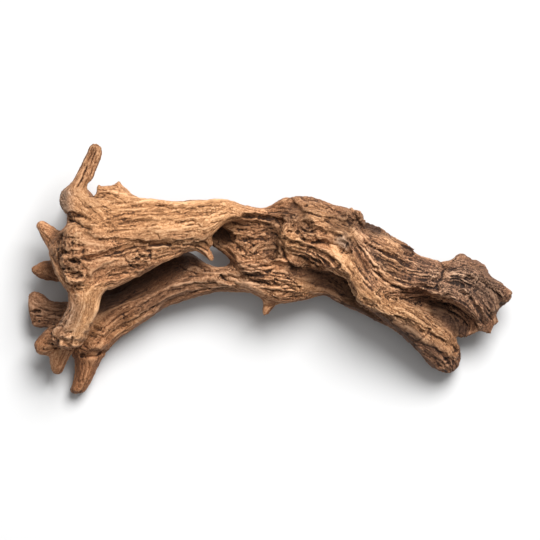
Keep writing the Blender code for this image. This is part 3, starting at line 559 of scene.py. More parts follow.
# Where the grain bends away from the limbs: (radius of influence, path), seen from above.
FLOWS = [
    (16, [(352, 160), (358, 148), (365, 135), (374, 121), (388, 112), (410, 108), (440, 106)]),
    (16, [(366, 158), (380, 150), (395, 143), (409, 136), (430, 131), (450, 130)]),
    (12, [(440, 104), (456, 99), (468, 90), (474, 78), (473, 66)]),
    (12, [(428, 96), (444, 93), (456, 86), (462, 76), (463, 64)]),
    (14, [(452, 112), (468, 106), (480, 94), (488, 78), (490, 68)]),
    (12, [(470, 120), (484, 114), (496, 102), (500, 92)]),
    (14, [(284, 158), (300, 154), (316, 148), (332, 138), (344, 126)]),
    (14, [(300, 182), (312, 178), (330, 171), (346, 162), (354, 150)]),
    (12, [(290, 198), (310, 196), (330, 189), (348, 182)]),
    (14, [(226, 158), (236, 150), (246, 142), (256, 139)]),
    (16, [(240, 178), (256, 174), (272, 170)]),
    (16, [(240, 160), (256, 157), (270, 158)]),
    (14, [(86, 125), (96, 124), (110, 128), (130, 132), (150, 137)]),
    (12, [(70, 112), (80, 104), (84, 92), (80, 78)]),
    (12, [(96, 70), (90, 60), (86, 48), (84, 32), (78, 14)]),
]

# Knots that the grain goes round: (x, y, radius), seen from above.
KNOTS = [(355, 184, 7), (391, 102, 6), (75, 129, 8), (74, 154, 5), (139, 141, 6), (60, 158, 6)]

# Broad marks seen from above, stains with painted shade and painted highlight among them: (layer, strength,
# radius, path). Each layer is a value of the material.
STAINS_AND_PAINTED_LIGHT = [
    # shade: painted shade under ledges, in hollows and on sides turned from the light, with darker wood in
    # places.
    ("shade", 0.85, 9, [(345, 93), (368, 85), (388, 77), (404, 70), (414, 63)]),
    ("shade", 0.9, 7, [(436, 90), (448, 81), (462, 70)]),
    ("shade", 0.3, 7, [(412, 103), (424, 97), (434, 92)]),
    ("shade", 0.6, 10, [(288, 186), (298, 186), (304, 176)]),
    ("shade", 0.6, 10, [(336, 176), (350, 178), (360, 176)]),
    ("shade", 0.8, 9, [(60, 162), (63, 154)]),
    ("shade", 0.5, 9, [(52, 132), (50, 128)]),
    ("shade", 0.5, 14, [(52, 84), (62, 88), (70, 92)]),
    ("shade", 0.8, 7, [(367, 175), (374, 171)]),
    ("shade", 0.6, 9, [(272, 176), (276, 160), (274, 148)]),
    ("shade", 0.5, 9, [(404, 68), (412, 62), (420, 54), (432, 40)]),
    ("shade", 0.5, 11, [(484, 116), (492, 108), (497, 98)]),
    ("shade", 0.45, 10, [(62, 206), (61, 194)]),
    ("shade", 0.25, 14, [(290, 192), (310, 192), (338, 186)]),
    ("shade", 0.35, 12, [(140, 159), (170, 160), (198, 160)]),
    ("shade", 0.22, 14, [(100, 139), (126, 141), (152, 145)]),
    ("shade", 0.35, 12, [(116, 84), (136, 97), (160, 107), (190, 115)]),
    ("shade", 0.3, 9, [(152, 92), (172, 101), (194, 110), (220, 113)]),
    ("shade", 0.25, 10, [(100, 252), (92, 234), (84, 218)]),
    ("shade", 0.25, 14, [(68, 204), (78, 200), (92, 198)]),
    ("shade", 0.3, 10, [(84, 166), (92, 160), (98, 156)]),
    ("shade", 0.3, 9, [(340, 166), (352, 158)]),
    ("shade", 0.25, 12, [(246, 168), (262, 164)]),
    ("shade", 0.25, 15, [(66, 156), (70, 142), (70, 130)]),
    ("shade", 1.0, 5.5, [(368, 174), (374, 170.5), (378, 169)]),
    ("shade", 0.6, 3, [(382, 166.5), (390, 164)]),
    ("shade", 0.8, 3, [(404, 153.5), (412, 150)]),
    ("shade", 0.6, 6, [(72, 138), (78, 137)]),
    ("shade", 0.6, 4, [(65, 131), (69, 130)]),
    ("shade", 0.7, 4, [(76, 128), (80, 125)]),
    ("crags", 1.0, 13, [(66, 156), (70, 142), (70, 130), (74, 120)]),
    ("crags", 0.9, 8, [(134, 140), (146, 144)]),
    ("crags", 0.5, 12, [(60, 60), (70, 56), (78, 58)]),
    ("crags", 0.5, 10, [(352, 186), (358, 180)]),
    ("crags", 0.6, 9, [(386, 104), (396, 102)]),
    ("crags", 0.3, 14, [(256, 160), (258, 148)]),
    ("crags", 0.2, 22, [(456, 128), (470, 118), (488, 104)]),
    ("crags", 0.7, 10, [(282, 176), (300, 170)]),
    # light: paler golden wood, with painted highlight along the lit crests.
    ("light", 0.7, 26, [(96, 192), (130, 184), (170, 182), (212, 184)]),
    ("light", 0.7, 12, [(92, 104), (92, 86), (84, 70)]),
    ("light", 0.8, 11, [(358, 104), (376, 97), (396, 92), (416, 82), (436, 68), (452, 56)]),
    ("light", 0.35, 12, [(392, 158), (390, 140), (388, 124)]),
    ("light", 0.4, 8, [(118, 71), (134, 79)]),
    ("light", 0.5, 7, [(300, 112), (310, 110), (316, 108)]),
    ("light", 0.5, 9, [(308, 186), (330, 176), (350, 164)]),
    ("light", 0.6, 9, [(285, 162), (294, 157)]),
    ("light", 0.7, 9, [(336, 146), (345, 138), (352, 128), (356, 118)]),
    ("light", 0.2, 9, [(206, 118), (220, 120), (236, 121)]),
    ("grey", 0.7, 5, [(341, 160), (345, 156)]),
    ("grey", 0.3, 5, [(372, 150), (380, 140), (384, 134)]),
    ("grey", 0.9, 9, [(62, 205), (61, 196), (64, 188)]),
    ("grey", 0.4, 18, [(36, 90), (60, 84)]),
    ("grey", 0.2, 8, [(436, 126), (440, 118), (452, 104)]),
    ("grey", 0.35, 14, [(460, 122), (476, 116), (488, 108)]),
    ("grey", 0.22, 15, [(150, 92), (176, 106), (206, 118), (250, 122)]),
]

# Shade in the hollows under the limbs in front, seen from above:
# (strength, radius, height that it ends at, path).
UNDERSIDES = [
    (1.0, 15, 68, [(102, 98), (116, 108), (132, 118), (150, 128), (168, 136), (186, 143), (200, 148)]),
    (0.7, 7, 90, [(290, 132), (300, 127), (309, 123)]),
    (0.8, 12, 74, [(312, 124), (322, 120), (336, 114), (350, 104)]),
    (1.0, 11, 58, [(208, 168), (220, 169), (234, 166)]),
    (0.7, 10, 58, [(214, 158), (228, 146)]),
]

# Cracks on the side seen from above, finer than the source's strokes: (half width, depth, path).
CRACKS = [
    # crown, horn and plate
    (1.6, 1.8, [(69, 186), (73, 187.5), (79, 184.5), (86, 182)]),
    (1.2, 1.2, [(71, 183), (77, 183), (84, 183.5)]),
    (1.6, 1.8, [(71, 179), (78, 177), (84, 173), (90, 171)]),
    (1.2, 1.0, [(86, 192.3), (98, 192.3), (107, 193.5)]),
    (1.0, 1.0, [(77, 195), (86, 195)]),
    (1.2, 1.2, [(103, 179), (112, 182), (122, 185), (134, 187)]),
    (1.0, 0.8, [(104, 176), (114, 179), (126, 180)]),
    (1.2, 1.2, [(101, 160), (110, 161), (118, 162)]),
    (1.4, 2.0, [(84, 141), (92, 139.5), (98, 142), (110, 145), (120, 147.5), (130, 151.5), (140, 153),
                (150, 153.5), (158, 155), (170, 155.5)]),
    (1.4, 1.5, [(112, 143), (120, 144), (130, 147.5), (138, 149)]),
    (1.0, 1.0, [(113, 147), (122, 149), (131, 150)]),
    (2.0, 2.0, [(127, 140), (129, 137), (133, 133), (138, 133.5)]),
    (2.2, 2.5, [(138, 150), (146, 150.5), (151, 148), (151, 143)]),
    (1.4, 1.5, [(136, 143), (139, 140), (141, 143.5)]),
    (1.2, 1.2, [(139, 147), (143, 143), (147, 143)]),
    (1.2, 1.2, [(130, 138), (134, 137), (137, 139)]),
    (1.0, 1.0, [(112, 128.5), (122, 129.5), (135, 130.5), (146, 131)]),
    (1.0, 1.0, [(110, 124), (118, 125.5), (128, 127.5)]),
    (1.2, 1.2, [(124, 127), (134, 127.5), (142, 128)]),
    (0.9, 0.8, [(100, 123), (106, 127), (112, 132), (122, 135)]),
    (0.9, 0.8, [(96, 118), (102, 122), (110, 127)]),
    (0.9, 0.5, [(90, 112), (95, 117), (100, 121)]),
    (1.3, 1.6, [(57, 164), (62, 164), (66, 163)]),
    (1.4, 1.4, [(57, 159), (62, 159.5)]),
    (1.3, 1.3, [(61, 155), (65, 157)]),
    (1.1, 1.3, [(66, 148.5), (73, 146.5), (81, 147), (84, 149)]),
    (0.9, 1.0, [(72, 150), (78, 149)]),
    (1.0, 1.2, [(60, 146), (60, 141)]),
    (1.0, 1.2, [(56, 146), (54, 142), (57, 136)]),
    (1.4, 1.6, [(71, 139.5), (75, 139), (79, 136.5)]),
    (1.2, 1.3, [(64, 131.5), (70, 132)]),
    (0.9, 1.0, [(77, 132), (81, 131)]),
    (1.5, 1.4, [(66, 128), (72, 126), (78, 127.5)]),
    (1.3, 1.3, [(70, 123.5), (76, 122.5), (81, 124)]),
    (0.9, 0.8, [(62, 124), (64, 120), (69, 113)]),
    (0.9, 0.8, [(73, 157), (74.5, 152)]),
    (0.9, 0.8, [(78, 156), (84, 153)]),
    (1.0, 0.7, [(70, 163), (76, 160), (82, 157)]),
    (1.0, 0.7, [(72, 166), (80, 162)]),
    (1.0, 0.7, [(85, 166), (91, 163)]),
    (0.9, 0.8, [(84, 147), (86, 142), (91, 139.5)]),
    (0.9, 1.0, [(78, 111), (82, 110)]),
    (1.0, 0.7, [(88, 119), (91, 117)]),
    (0.9, 0.8, [(80, 214), (84, 224), (88, 233)]),
    (0.9, 0.8, [(88, 236), (92, 246), (95, 251)]),
    (0.8, 0.7, [(74, 208), (80, 216), (84, 222)]),
    (0.8, 0.7, [(92, 238), (96, 247)]),
    (1.4, 1.4, [(100, 206), (106, 207), (110, 206)]),
    (1.6, 1.6, [(104, 203.5), (106, 204.5)]),
    (1.0, 1.0, [(98, 210), (106, 210)]),
    (1.2, 1.2, [(106, 199.5), (112, 199.5)]),
    (1.5, 1.5, [(91, 203), (97, 203)]),
    (0.9, 0.8, [(113, 206), (120, 201), (126, 198)]),
    # upper arm
    (1.0, 1.0, [(131, 173.8), (136, 174)]),
    (1.0, 1.0, [(121, 165), (127, 166.5)]),
    (1.2, 1.3, [(155, 167), (159, 165), (160, 162)]),
    (0.9, 0.8, [(133, 194), (142, 193), (150, 194), (164, 193.5)]),
    (0.9, 0.8, [(168, 192), (182, 191.5), (196, 191)]),
    (1.0, 0.9, [(160, 181.5), (165, 180.5), (172, 180.5)]),
    (0.9, 0.8, [(120, 176), (132, 178), (148, 178.5)]),
    (0.9, 0.8, [(150, 171), (160, 171.5)]),
    (0.9, 0.8, [(176, 177), (190, 178), (204, 178)]),
    (1.0, 1.0, [(193, 178.5), (196, 176.5)]),
    (1.0, 1.0, [(199, 175.5), (201, 173)]),
    (0.9, 0.8, [(222, 186), (227, 186)]),
    (0.9, 0.8, [(200, 193.5), (212, 194), (224, 194)]),
    (0.9, 0.8, [(184, 171), (192, 170.5), (200, 170), (206, 168)]),
    (1.2, 1.2, [(186, 168.5), (196, 168.5), (204, 166)]),
    (1.2, 1.2, [(176, 158.5), (188, 160.5), (198, 160), (206, 157)]),
    (1.4, 1.5, [(150, 154.5), (162, 154.5), (176, 155), (190, 155), (200, 153), (207, 150)]),
    (1.2, 1.2, [(182, 156.5), (184, 154.5)]),
    (1.2, 1.2, [(196, 151.5), (203, 147.5), (207, 142)]),
    (0.9, 0.8, [(150, 143), (160, 146), (172, 148.5)]),
    (0.9, 0.8, [(156, 140), (166, 144), (176, 146)]),
    (0.9, 0.8, [(110, 168), (122, 170), (136, 169.5)]),
    (0.9, 0.8, [(138, 185), (152, 185.5), (166, 186)]),
    (0.9, 0.8, [(178, 186), (192, 187), (206, 187)]),
    # front leg, knob and fan
    (1.4, 1.0, [(59, 60), (57, 55), (59, 52)]),
    (1.8, 1.4, [(60, 53), (66, 51), (70, 50)]),
    (1.2, 0.9, [(64, 57), (69, 55), (72, 53)]),
    (1.2, 0.8, [(62, 62), (66, 64), (71, 65)]),
    (1.0, 1.0, [(73, 63), (72, 58)]),
    (1.4, 1.4, [(70, 51), (77, 52), (80, 53)]),
    (1.0, 1.0, [(66, 68), (72, 68)]),
    (1.0, 1.0, [(44, 57), (50, 56), (56, 55)]),
    (1.6, 1.6, [(52, 66), (54, 63)]),
    (1.4, 1.4, [(44, 50.5), (50, 51), (56, 51)]),
    (1.6, 1.6, [(52, 72), (56, 74), (61, 79)]),
    (2.0, 2.0, [(35, 88.5), (38, 88.5)]),
    (0.9, 0.8, [(34, 84), (44, 84), (54, 86)]),
    (0.9, 0.8, [(34, 78), (44, 79), (52, 79)]),
    (0.9, 0.8, [(40, 95), (50, 93), (62, 93)]),
    (0.8, 0.7, [(34, 81), (46, 81.5)]),
    (1.0, 1.0, [(42, 90), (52, 89), (62, 89)]),
    # lower arm
    (1.4, 0.7, [(93, 73), (97, 71), (100, 70)]),
    (1.4, 0.8, [(90, 68), (95, 66.5), (99, 64.5)]),
    (1.4, 0.8, [(91, 64), (95, 62.5), (98, 60.5)]),
    (1.2, 1.0, [(96, 58.5), (99, 57)]),
    (1.2, 1.2, [(84, 54), (90, 50), (98, 50)]),
    (1.0, 1.0, [(80, 50), (90, 48.5), (100, 48)]),
    (1.4, 1.4, [(82, 43.5), (92, 43.5), (100, 46)]),
    (1.2, 1.2, [(205, 128.8), (211, 129)]),
    (1.0, 1.0, [(190, 123.5), (200, 125), (210, 125)]),
    (1.6, 1.6, [(221, 124), (226, 120.5), (233, 117.5), (238, 115.5)]),
    (1.2, 1.2, [(228, 126.5), (236, 122), (240, 119)]),
    (1.0, 1.0, [(222, 119), (232, 115.5)]),
    (1.0, 1.0, [(170, 112), (180, 113.5), (192, 116), (204, 117)]),
    (1.0, 1.0, [(160, 106), (170, 110), (180, 111)]),
    (1.0, 1.0, [(200, 113), (212, 113.5)]),
    (1.0, 1.0, [(186, 108), (198, 109), (210, 111)]),
    (1.0, 1.0, [(110, 78), (122, 87), (134, 94)]),
    (1.0, 1.0, [(104, 72), (116, 82), (128, 88)]),
    (1.0, 1.0, [(140, 86), (150, 92), (158, 97)]),
    (1.0, 1.0, [(112, 92), (124, 100), (134, 108)]),
    (1.0, 1.0, [(120, 96), (132, 104), (146, 110)]),
    (1.0, 1.0, [(190, 137), (198, 134), (204, 131)]),
    (1.2, 1.2, [(180, 134), (186, 130), (196, 127)]),
    # plank and the body under it
    (1.0, 1.0, [(228, 172), (236, 171), (246, 171)]),
    (1.0, 1.0, [(230, 168.5), (240, 168), (250, 167)]),
    (1.0, 1.0, [(233, 177), (240, 174.5), (250, 174)]),
    (1.0, 1.0, [(236, 164.5), (246, 164), (250, 161)]),
    (1.2, 1.2, [(240, 170.5), (246, 170)]),
    (1.4, 1.4, [(240, 160), (252, 160.2), (268, 160)]),
    (2.2, 2.4, [(246, 182.5), (252, 183), (258, 182), (266, 181), (272, 180)]),
    (1.2, 1.2, [(246, 178), (256, 177), (268, 175)]),
    (1.0, 1.0, [(252, 172), (262, 172), (272, 171)]),
    (2.4, 2.0, [(249, 157), (254, 155), (257, 157)]),
    (1.4, 1.4, [(250, 152), (254, 154)]),
    (1.0, 1.0, [(258, 163), (268, 163.5)]),
    (1.0, 1.0, [(222, 158), (230, 153), (238, 147)]),
    (1.2, 1.2, [(216, 156), (226, 150), (234, 143)]),
    (1.0, 1.0, [(236, 157), (242, 152), (246, 147)]),
    (1.0, 1.0, [(228, 160), (236, 155), (240, 150)]),
    (1.0, 1.0, [(256, 151), (266, 153)]),
    (1.2, 1.2, [(262, 148), (268, 150)]),
    (1.0, 1.0, [(252, 165), (257, 168)]),
    (1.4, 1.4, [(267, 166), (272, 164)]),
    (2.0, 2.2, [(245, 126), (250, 124.5), (258, 124), (266, 126), (270, 129)]),
    (1.2, 1.2, [(230, 122.5), (238, 122.5), (246, 121)]),
    (1.4, 1.4, [(270, 141), (278, 141.5), (285, 143)]),
    (1.0, 1.0, [(273, 136.5), (280, 135)]),
    (1.2, 1.2, [(275, 121), (278, 119.5)]),
    (1.0, 1.0, [(250, 119), (262, 119), (274, 118)]),
    (1.0, 1.0, [(254, 114.5), (266, 114), (278, 112.5)]),
    (1.0, 1.0, [(282, 118), (290, 113), (298, 109)]),
    (1.2, 1.2, [(284, 106), (287, 108)]),
    (1.0, 1.0, [(288, 103), (296, 103)]),
    (1.2, 1.2, [(270, 105), (276, 102)]),
    (1.0, 1.0, [(286, 122), (294, 118), (300, 112)]),
    (1.0, 1.0, [(240, 131), (252, 133), (266, 134)]),
    (1.0, 1.0, [(236, 136), (248, 138), (258, 138)]),
    (1.2, 1.4, [(246, 145), (251, 144), (256, 148)]),
    # hump
    (1.0, 1.0, [(304, 199), (311, 196.5), (318, 193.5), (326, 191)]),
    (0.8, 0.8, [(306, 194), (314, 190), (322, 187), (331, 185)]),
    (1.2, 1.0, [(302, 201.5), (309, 200.5), (317, 199)]),
    (1.0, 1.0, [(305, 188), (312, 186), (320, 184), (330, 182), (340, 181)]),
    (0.8, 0.8, [(311, 184), (320, 181), (330, 180.5)]),
    (1.2, 1.2, [(281, 192), (290, 191.5)]),
    (1.5, 1.5, [(270, 187), (280, 188), (290, 186.5), (294, 185)]),
    (1.0, 1.0, [(270, 184.5), (280, 184), (290, 183)]),
    (1.5, 1.5, [(290, 184), (293, 181), (296, 183)]),
    (1.2, 1.2, [(311, 177), (320, 178.5), (328, 178)]),
    (1.0, 1.0, [(313, 174), (322, 172.5), (332, 171), (342, 168.5)]),
    (1.2, 1.2, [(302, 170), (310, 168.5), (318, 169.5), (326, 167)]),
    (1.5, 1.5, [(305, 166), (310, 164), (314, 164)]),
    (1.0, 1.0, [(333, 165), (337, 163.5), (341, 164)]),
    (1.2, 1.4, [(302, 162), (306, 159), (311, 157.5), (317, 157)]),
    (2.0, 2.0, [(318, 158.5), (323, 157), (328, 156)]),
    (1.0, 1.0, [(300, 154), (310, 152.5), (318, 150), (326, 146)]),
    (1.0, 1.0, [(290, 152.5), (300, 150.5), (310, 147.5), (316, 143), (321, 137)]),
    (1.0, 1.0, [(288, 149), (298, 147.5), (306, 145.5), (314, 140), (320, 134)]),
    (0.8, 0.8, [(314, 149), (318, 144), (323, 139), (328, 134)]),
    (0.8, 0.8, [(322, 150), (328, 145), (334, 139)]),
    (0.8, 0.8, [(318, 152), (326, 149), (333, 145)]),
    (1.5, 1.5, [(300, 143), (308, 139), (316, 134)]),
    (1.5, 1.5, [(290, 147), (300, 144), (308, 141)]),
    (2.0, 2.0, [(283, 150), (285, 144), (288, 139)]),
    (1.5, 1.5, [(272, 166), (277, 164), (280, 160)]),
    (1.5, 1.5, [(274, 157), (277, 152), (275, 148)]),
    (2.0, 2.0, [(268, 181), (276, 181), (279, 177), (281, 172)]),
    (1.2, 1.2, [(347, 156), (344, 150), (341, 146)]),
    (1.2, 1.4, [(350, 159), (354, 152), (358, 147), (361, 141), (364, 134), (368, 128)]),
    (1.0, 1.0, [(353, 163), (357, 155), (361, 149)]),
    (1.0, 1.0, [(362, 150), (366, 142), (371, 135), (377, 130)]),
    (1.0, 1.0, [(341, 136), (341, 131), (345, 127), (348, 121)]),
    (1.0, 1.0, [(352, 140), (356, 134), (361, 127), (366, 121)]),
    (0.8, 0.8, [(346, 133), (352, 127), (358, 121)]),
    (1.2, 1.2, [(353, 168), (355, 170)]),
    (1.0, 1.0, [(360, 171), (363, 168)]),
    (1.5, 1.5, [(353, 187), (356, 184), (357, 181)]),
    (1.5, 1.5, [(347, 179), (350, 176), (352, 178)]),
    (1.5, 1.5, [(359, 178), (362, 175)]),
    (1.5, 1.5, [(336, 140), (339, 136), (338, 132)]),
    # trunk
    (1.4, 1.8, [(366, 157), (374, 152), (383, 147), (392, 143), (400, 139), (407, 134)]),
    (1.0, 1.0, [(370, 160.5), (380, 156), (390, 153), (398, 149)]),
    (0.8, 0.8, [(380, 158), (390, 155), (400, 152)]),
    (1.0, 1.2, [(366, 150), (374, 144), (382, 137), (388, 133)]),
    (1.0, 1.2, [(372, 148), (382, 143), (390, 138), (398, 136)]),
    (1.2, 1.2, [(380, 150), (392, 146), (404, 142), (412, 141)]),
    (0.8, 0.8, [(392, 150), (402, 147), (412, 146)]),
    (1.5, 1.5, [(402, 147.5), (408, 146), (413, 146.5)]),
    (1.2, 1.2, [(402, 138), (406, 135), (409, 134)]),
    (1.0, 1.2, [(376, 133), (386, 128), (394, 122), (402, 116)]),
    (1.4, 1.8, [(374, 128), (382, 122), (390, 116), (398, 112), (406, 110)]),
    (1.0, 1.2, [(384, 134), (394, 128), (404, 124), (414, 121), (426, 120.5)]),
    (1.2, 1.2, [(390, 128), (400, 124), (410, 121)]),
    (0.9, 1.0, [(386, 140), (396, 134), (406, 130), (416, 127.5), (428, 127)]),
    (0.9, 1.0, [(404, 134), (414, 131), (424, 130)]),
    (0.8, 0.8, [(410, 137), (420, 134), (430, 134)]),
    (1.0, 1.0, [(416, 128), (424, 128), (430, 127)]),
    (1.2, 1.5, [(396, 120), (406, 116), (414, 113.5), (424, 112.5), (434, 112)]),
    (0.9, 1.0, [(402, 118), (412, 116), (422, 115)]),
    (1.0, 1.0, [(380, 168), (386, 167), (392, 163.5)]),
    (1.5, 1.5, [(402, 155), (406, 153), (411, 151)]),
    (1.5, 1.5, [(441, 137), (444, 131), (442, 124), (438, 118), (436, 113)]),
    # butt
    (1.2, 1.2, [(446, 133), (450, 131), (456, 131)]),
    (1.4, 1.4, [(449, 129), (455, 128.5), (461, 128)]),
    (1.4, 1.4, [(451, 124), (457, 123.5)]),
    (1.2, 1.4, [(446, 118), (453, 116.5), (458, 115.5), (464, 114)]),
    (1.4, 1.5, [(452, 113.5), (460, 112.5), (470, 112.5)]),
    (2.2, 2.2, [(466, 122.5), (470, 121), (473, 121)]),
    (1.2, 1.2, [(476, 125), (479, 121), (477, 117)]),
    (1.4, 1.4, [(482, 118), (487, 115), (485, 112)]),
    (1.2, 1.4, [(490, 119), (494, 114), (497, 109), (499, 104)]),
    (1.0, 1.0, [(494, 118), (499, 112), (504, 106), (507, 101)]),
    (1.2, 1.4, [(478, 112), (484, 108), (490, 104), (494, 99)]),
    (1.2, 1.2, [(482, 109), (488, 104), (493, 97), (496, 91)]),
    (1.2, 1.4, [(470, 108), (475, 102), (480, 95), (486, 88), (492, 81)]),
    (1.0, 1.2, [(474, 110), (480, 102), (487, 93), (492, 86)]),
    (1.2, 1.2, [(462, 106), (468, 104), (470, 101)]),
    (1.3, 1.5, [(452, 101), (462, 97), (470, 91), (478, 83), (484, 76)]),
    (1.3, 1.5, [(446, 96), (456, 92), (466, 86), (474, 78), (478, 71)]),
    (1.2, 1.2, [(450, 89), (460, 83), (468, 75)]),
    (1.0, 1.0, [(456, 107), (464, 106.5), (470, 106)]),
    (1.0, 1.0, [(444, 106), (452, 105), (460, 103)]),
    (1.0, 1.0, [(432, 97.5), (440, 97), (448, 96)]),
    # right leg
    (1.2, 1.2, [(402, 101.5), (410, 99), (417, 96)]),
    (1.2, 1.2, [(387, 104), (391, 102), (396, 101)]),
    (1.0, 1.0, [(392, 98), (400, 97.5)]),
    (1.0, 1.0, [(382, 104), (386, 97), (390, 92)]),
    (1.0, 1.0, [(366, 92), (376, 87), (384, 86)]),
    (1.6, 1.8, [(395, 84), (402, 82), (410, 79.5), (418, 76), (424, 73), (430, 70.5)]),
    (1.0, 1.0, [(392, 80), (400, 77.5), (408, 75), (414, 72)]),
    (1.0, 1.1, [(430, 70), (427, 66), (424, 63), (420, 60)]),
    (1.3, 1.5, [(429, 67.5), (434, 64.5), (440, 61), (446, 58), (452, 56), (456, 52)]),
    (0.9, 0.8, [(436, 72), (440, 69), (445, 65)]),
    (1.4, 1.4, [(414, 58), (422, 56), (430, 53.5), (438, 49), (446, 44), (450, 41)]),
    (1.2, 1.2, [(414, 55), (424, 53), (432, 50), (440, 45), (446, 40.5)]),
    (1.0, 1.0, [(424, 45), (430, 42)]),
    (1.0, 1.1, [(444, 40), (449, 41)]),
    (0.9, 1.0, [(444, 36), (450, 37)]),
    (1.0, 1.1, [(446, 46.5), (448, 45)]),
    (1.3, 1.4, [(454, 48), (458, 49.5)]),
    (0.9, 1.0, [(440, 29), (446, 28.5)]),
    (0.9, 0.7, [(438, 36), (444, 32), (450, 30)]),
    (1.0, 1.0, [(424, 88), (426, 85)]),
    (1.0, 1.0, [(416, 89), (419, 86)]),
    (1.2, 1.2, [(399, 87.5), (403, 87)]),
    (0.9, 0.7, [(444, 72), (450, 65), (455, 59)]),
    (0.9, 0.7, [(432, 62), (440, 55), (446, 51)]),
    (0.9, 0.7, [(436, 68), (444, 63), (450, 58)]),
]

# Rows of fine cracks side by side between two paths: (cracks, half width, depth, first path, last path).
COMBS = [
    # trunk
    (13, 0.9, 1.2, [(366, 157), (380, 150.5), (395, 144), (410, 138), (425, 134), (438, 132)],
     [(351, 158), (357, 148), (363, 135), (373, 122), (388, 111), (404, 106), (420, 105), (436, 107)]),
    (5, 0.8, 1.1, [(372, 168), (386, 162), (400, 153), (416, 146), (434, 138)],
     [(368, 158), (380, 152), (395, 146), (410, 140), (434, 134)]),
    (5, 0.8, 1.0, [(352, 156), (356, 144), (362, 132), (370, 120), (380, 110)],
     [(342, 136), (350, 124), (358, 112), (368, 102), (380, 96)]),
    # butt
    (10, 0.9, 1.4, [(448, 131), (464, 131), (482, 121), (504, 105)],
     [(444, 106), (456, 100), (468, 90), (474, 72)]),
    (5, 0.9, 1.2, [(448, 134), (458, 139), (466, 141)], [(448, 126), (460, 128), (476, 123)]),
    # hump
    (4, 0.8, 0.9, [(304, 199), (320, 196), (342, 188)], [(303, 186), (320, 182), (344, 177)]),
    (6, 0.8, 1.1, [(284, 160), (298, 158), (314, 153), (330, 143), (340, 132)],
     [(286, 148), (300, 144), (314, 138), (324, 130)]),
    (4, 0.8, 1.0, [(306, 176), (320, 174), (342, 166)], [(304, 164), (318, 160), (336, 154)]),
    # right leg
    (6, 0.8, 1.0, [(360, 102), (378, 100), (400, 96), (424, 88), (446, 72), (458, 56)],
     [(358, 98), (374, 91), (396, 84), (420, 74), (440, 60), (456, 48)]),
    (6, 0.8, 0.8, [(412, 66), (424, 63), (440, 54), (452, 44), (456, 36)],
     [(420, 52), (430, 44), (440, 36), (446, 28)]),
    # plank and the body under it
    (9, 0.8, 1.1, [(228, 178), (240, 177), (256, 176), (272, 176)],
     [(238, 146), (248, 140), (260, 139), (272, 142)]),
    (6, 0.8, 1.1, [(240, 132), (256, 132), (272, 130), (290, 126)],
     [(240, 114), (262, 112), (284, 106), (306, 104)]),
    # lower arm
    (8, 0.7, 0.6, [(104, 84), (124, 98), (150, 110), (180, 120), (210, 126), (236, 124)],
     [(112, 66), (134, 80), (160, 95), (190, 106), (214, 111), (240, 113)]),
    (4, 0.8, 0.9, [(74, 44), (76, 28), (74, 14)], [(92, 44), (90, 28), (84, 12)]),
    # upper arm and crown
    (9, 0.7, 0.6, [(104, 198), (130, 198), (160, 197), (190, 195), (226, 194)],
     [(104, 164), (130, 165), (160, 166), (190, 168), (212, 170)]),
    (6, 0.7, 0.65, [(92, 136), (110, 141), (130, 147), (160, 151), (196, 152)],
     [(92, 108), (104, 112), (124, 120), (146, 131), (176, 146)]),
    (4, 0.7, 0.8, [(62, 200), (72, 190), (88, 180), (100, 172)],
     [(88, 200), (94, 194), (104, 184), (116, 176)]),
    (4, 0.7, 0.9, [(76, 210), (84, 226), (94, 250)], [(84, 206), (94, 226), (102, 248)]),
    # front leg and feet
    (6, 0.6, 0.5, [(74, 108), (74, 94), (66, 78), (58, 66)], [(100, 106), (96, 92), (90, 78), (84, 64)]),
    (5, 0.7, 0.9, [(34, 104), (48, 96), (64, 94)], [(32, 76), (46, 74), (62, 70)]),
    (3, 0.7, 0.9, [(42, 168), (52, 160), (60, 152)], [(46, 164), (54, 152), (62, 144)]),
]

# The grain, in board mm where it has a length.
GRID_CELL = 3.0           # cell of the table that finds a skin point near a place
COMB_STEP = 2.0           # between the points of a comb's first and last path
COMB_PLACES = 60          # places along each crack of a comb
PATH_STEP = 4.0           # between the points of a flow's or a stain's path
CRACK_STEP = 3.0          # between the points of a crack's path
LIMB_REACH = 45           # how far round a limb its grain counts
KNOT_REACH = 1.9          # the same for a knot, in radii
STREAK_SIZES = (4.6, 2.6)   # width of the broad and the medium streaks
STREAK_REACH = 32.0       # length of a streak on each side of a point
STREAK_STEP = 1.1         # step along a streak
SPLIT = (1.7, 0.36)       # depth of a split between broad streaks, and its width as a share of their spread
FISSURE = (1.1, 0.45)     # the same between medium streaks
FIBRES_PER_STREAK = 3.0
LIGHT_SMOOTHNESS = 0.3    # share of the grain's depth that wears off where the light layer lies, on paler wood and painted highlight
CRAG_HEIGHT = 3.0         # height of the crags in a burl
FLAT_BELOW = 3            # no grain under this height, so the spots that it lies on stay flat
GRAIN_FADE = 6            # height above that in which the grain comes up

# Colours from the darkest to the lightest tone of each kind of wood: (tone, colour).
GOLDEN_WOOD = [(0.1, (0.035, 0.014, 0.006)), (0.34, (0.155, 0.062, 0.024)),
               (0.6, (0.38, 0.172, 0.076)), (0.9, (0.67, 0.37, 0.195))]
BROWN_WOOD = [(0.1, (0.026, 0.013, 0.009)), (0.34, (0.115, 0.055, 0.031)),
              (0.6, (0.29, 0.145, 0.081)), (0.9, (0.57, 0.335, 0.194))]
